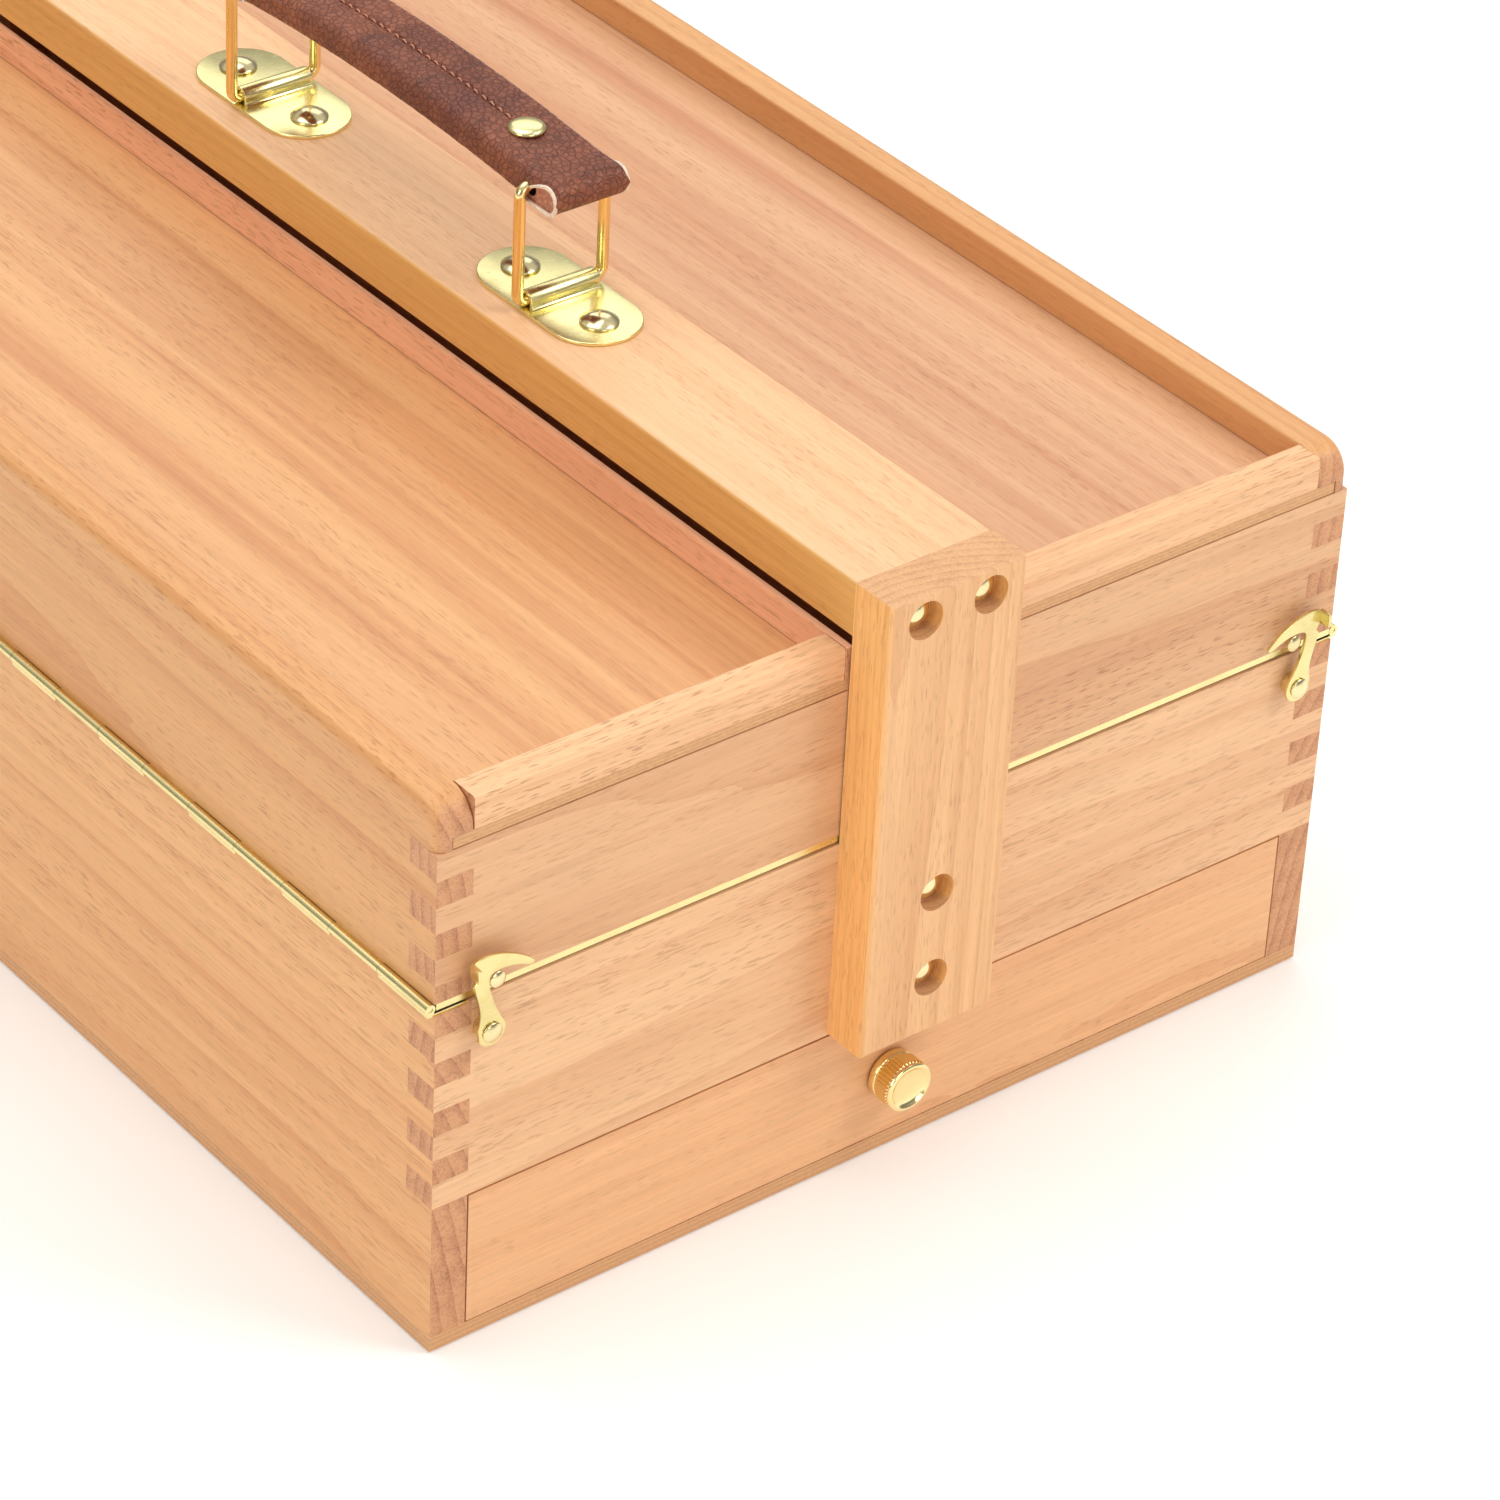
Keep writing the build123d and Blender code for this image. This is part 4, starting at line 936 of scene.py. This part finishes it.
def side_relief(y, z):
    """Coarse and fine unevenness of the strap's sides, set in slightly."""
    coarse = 0.10 * noise.noise(Vector((4.2, y * 0.35, z * 0.5)))
    fine = 0.05 * noise.noise(Vector((1.7, y * 1.1, z * 1.3)))
    return coarse + fine - 0.05


def strap_body():
    """Padded strap: even rows along the run, sine steps through the rounded ends."""
    steps = range(1, STRAP_TURN_ROWS + 1)
    ends = [STRAP_END + STRAP_END_RADIUS * math.sin(math.pi / 2 * k / STRAP_TURN_ROWS)
            for k in steps]
    rows = [-y for y in reversed(ends)]
    rows += [-STRAP_END + 2 * STRAP_END * j / STRAP_ROWS for j in range(STRAP_ROWS + 1)]
    rows += ends
    verts = []
    for y in rows:
        outline, top, radius, cap = strap_section(y)
        for x, z in outline:
            # 1 on the top, falling to 0 where the upper corners meet the sides
            up = max(0.0, min(1.0, (z - top + radius) / radius)) if radius > 0 else 0.0
            out = (1 - up) * side_relief(y, z)
            verts.append(((x + math.copysign(out, x) if out >= 0 else x + math.copysign(-out, x))
                          * MM if False else (x + math.copysign(out, x)) * MM,
                          y * MM, (z + up * strap_relief(x, y, z) * cap) * MM))
    return mesh_object("body", verts, capped_loft(len(rows), len(outline)), LEATHER)


def eye_outline(grow):
    """Teardrop (|y|, z) on a strap end's side: round outside, pinched towards the middle."""
    tail = (58.2 - grow, 201.0)
    bow = arc(STRAP_END, 203.55, 3.35 + grow, 108, -100, 26)
    upper = between(tail, bow[0], (0.06, 0.2, 0.4, 0.6, 0.8), rise=0.9)
    lower = between(bow[-1], (tail[0], tail[1] - 0.3), (0.2, 0.4, 0.6, 0.8, 0.94), rise=-0.15)
    return upper + bow + lower


# section of the pale band: share of the way from its inner to its outer outline, height
EDGE_SECTION = [(0.0, 0.0), (0.12, 0.24), (0.5, 0.34), (0.88, 0.24), (1.0, 0.0), (0.5, -1.2)]


def strap_eye(body, end, sign):
    """Carve one opening into the strap's side; returns the pale band round it."""
    outline = [(end * y, z) for y, z in eye_outline(-0.15)]
    cut(body, prism("cutter", outline, sign * 9.7, sign * 12.5, "x", FLESH, smooth=False))
    # deeper hollow, lined with near-black leather as painted shade
    outline = arc(end * 61.3, 203.3, 2.0, 0, 360, 28, radius_y=1.9)[:-1]
    cut(body, prism("cutter", outline, sign * 5.0, sign * 12.0, "x", HOLLOW_SHADE, smooth=False))

    inner, outer = eye_outline(-0.45), eye_outline(0.72)
    verts = []
    for (y0, z0), (y1, z1) in zip(inner, outer):
        for t, height in EDGE_SECTION:
            verts.append((sign * (10.75 + height) * MM, end * (y0 + (y1 - y0) * t) * MM,
                          (z0 + (z1 - z0) * t) * MM))
    faces = loft(len(inner), len(EDGE_SECTION), closed=True)
    edge = mesh_object("edge", verts, faces, CUT_EDGE)
    shade(edge, 50)
    return edge


def stitches():
    """Small slanted stitches that sink into the seam at both ends."""
    first_y, pitch, count = -38.5, 3.3, 24
    half_length, radius, slant, rows, segments = 1.15, 0.32, 0.16, 7, 8
    sunk, arch = 0.42, 0.36
    draw = random.Random(5).uniform
    verts, faces = [], []
    for i in range(count):
        base = len(verts)
        for row in range(rows):
            t = -1 + 2 * row / (rows - 1)
            y = first_y + pitch * i + half_length * t
            z = strap_top(y) - sunk + arch * (1 - t * t)
            r = radius * math.sqrt(max(0.06, 1 - 0.85 * t * t))
            x = slant * t + draw(-0.03, 0.03)
            for k in range(segments):
                a = 2 * math.pi * k / segments
                verts.append(((x + r * math.cos(a)) * MM, y * MM,
                              (z + r * 0.8 * math.sin(a)) * MM))
        faces += loft(rows, segments, base)
        for start in (base, base + (rows - 1) * segments):
            faces.append(tuple(range(start, start + segments)))
    return mesh_object("vis_strap_stitches", verts, faces, THREAD)


body = strap_body()
edges = [strap_eye(body, end, sign) for end in (-1, 1) for sign in (-1, 1)]
body_materials = list(body.data.materials)
shade(body, 44)
for edge in edges:
    for polygon in edge.data.polygons:
        polygon.material_index = len(body_materials)
register(merge("vis_handle_strap", [body] + edges, body_materials + [CUT_EDGE]),
         "strap", "handle_strap")
thread = stitches()
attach(thread, "strap")


# ---------------------------------------------------------------- floor, lights and world

FLOOR_HALF, FLOOR_Z = 9, -0.0006
paper = plain("floor_paper", (247, 246, 244), (245, 244, 242),
              scale=8.0, rough=0.75, bump=0.02, glow=0.10)
floor = mesh_object("floor", [(sx * FLOOR_HALF, sy * FLOOR_HALF, FLOOR_Z)
                              for sx, sy in ((-1, -1), (1, -1), (1, 1), (-1, 1))],
                    [(0, 1, 2, 3)], paper, smooth=False)


def area_light(name, at, power, colour, size, size_y=None, aim=(0, 0, 0.08)):
    light = bpy.data.lights.new(name, "AREA")
    light.shape = "RECTANGLE"
    light.size = size
    light.size_y = size_y or size
    light.energy = power
    light.color = colour
    obj = bpy.data.objects.new(name, light)
    obj.location = at
    obj.rotation_mode = "QUATERNION"
    obj.rotation_quaternion = (Vector(aim) - Vector(at)).to_track_quat("-Z", "Y")
    bpy.context.scene.collection.objects.link(obj)


area_light("key", at=(1.5, -1.7, 2.2), power=33, colour=(1.0, 0.985, 0.965), size=1.3)
area_light("top", at=(-0.3, 0.5, 2.4), power=27, colour=(1.0, 0.99, 0.98), size=1.9,
           aim=(0, 0, 0.1))
area_light("left", at=(-2.2, -0.5, 1.0), power=12, colour=(1.0, 0.965, 0.92), size=1.0)
area_light("front", at=(-0.3, -2.6, 0.8), power=7, colour=(1.0, 0.98, 0.96), size=1.0)
area_light("sheen", at=(1.16, 1.33, 1.52), power=6.6, colour=(1.0, 1.0, 1.0), size=1.7,
           size_y=1.2, aim=(0, 0, 0.17))

WORLD_STRENGTH = 0.62
WORLD_BELOW, WORLD_ABOVE = (0.8, 0.8, 0.8, 1), (1.0, 1.0, 1.0, 1)
# position from straight down (0) to straight up (1), brightness
WORLD_STOPS = ((0.5, 0.66), (0.58, 0.34), (0.70, 0.55), (0.80, 1.0))


def studio_world():
    """Sky graded by height, darkest just above the horizon."""
    world = bpy.data.worlds.new("studio")
    bpy.context.scene.world = world
    world.use_nodes = True
    tree = world.node_tree
    tree.nodes.clear()
    output, background, coordinates, separate, ramp, height = (
        tree.nodes.new("ShaderNode" + kind) for kind in
        ("OutputWorld", "Background", "TexCoord", "SeparateXYZ", "ValToRGB", "MapRange"))
    height.inputs["From Min"].default_value = -1.0
    height.inputs["From Max"].default_value = 1.0
    background.inputs["Strength"].default_value = WORLD_STRENGTH
    for source, target in ((background.outputs[0], output.inputs[0]),
                           (coordinates.outputs["Generated"], separate.inputs[0]),
                           (separate.outputs[2], height.inputs[0]),
                           (height.outputs[0], ramp.inputs[0]),
                           (ramp.outputs[0], background.inputs[0])):
        tree.links.new(source, target)
    elements = ramp.color_ramp.elements
    elements[0].position, elements[1].position = 0.0, 1.0
    elements[0].color, elements[1].color = WORLD_BELOW, WORLD_ABOVE
    for position, value in WORLD_STOPS:
        elements.new(position).color = (value, value * 0.99, value * 0.97, 1)


studio_world()

# ---------------------------------------------------------------- camera

CAMERA_AT = (-0.7689, -1.0648, 0.9089)
AZIMUTH, ELEVATION, ROLL = (math.radians(a) for a in (-39.8, 34.5, 3.09))

scene = bpy.context.scene
scene.view_settings.view_transform = "Standard"
scene.view_settings.look = "None"
scene.view_settings.exposure = 0.0

camera_data = bpy.data.cameras.new("camera")
camera_data.sensor_width = 36.0
camera_data.lens = 145.11
camera_data.clip_start = 0.05
camera_data.clip_end = 60
camera = bpy.data.objects.new("camera", camera_data)
scene.collection.objects.link(camera)
back = Vector((math.sin(AZIMUTH) * math.cos(ELEVATION),
               -math.cos(AZIMUTH) * math.cos(ELEVATION), math.sin(ELEVATION)))
forward = -back
right = forward.cross(Vector((0, 0, 1))).normalized()
up = right.cross(forward)
camera.matrix_world = axes_matrix(right * math.cos(ROLL) + up * math.sin(ROLL),
                                  -right * math.sin(ROLL) + up * math.cos(ROLL),
                                  back, CAMERA_AT)
scene.camera = camera
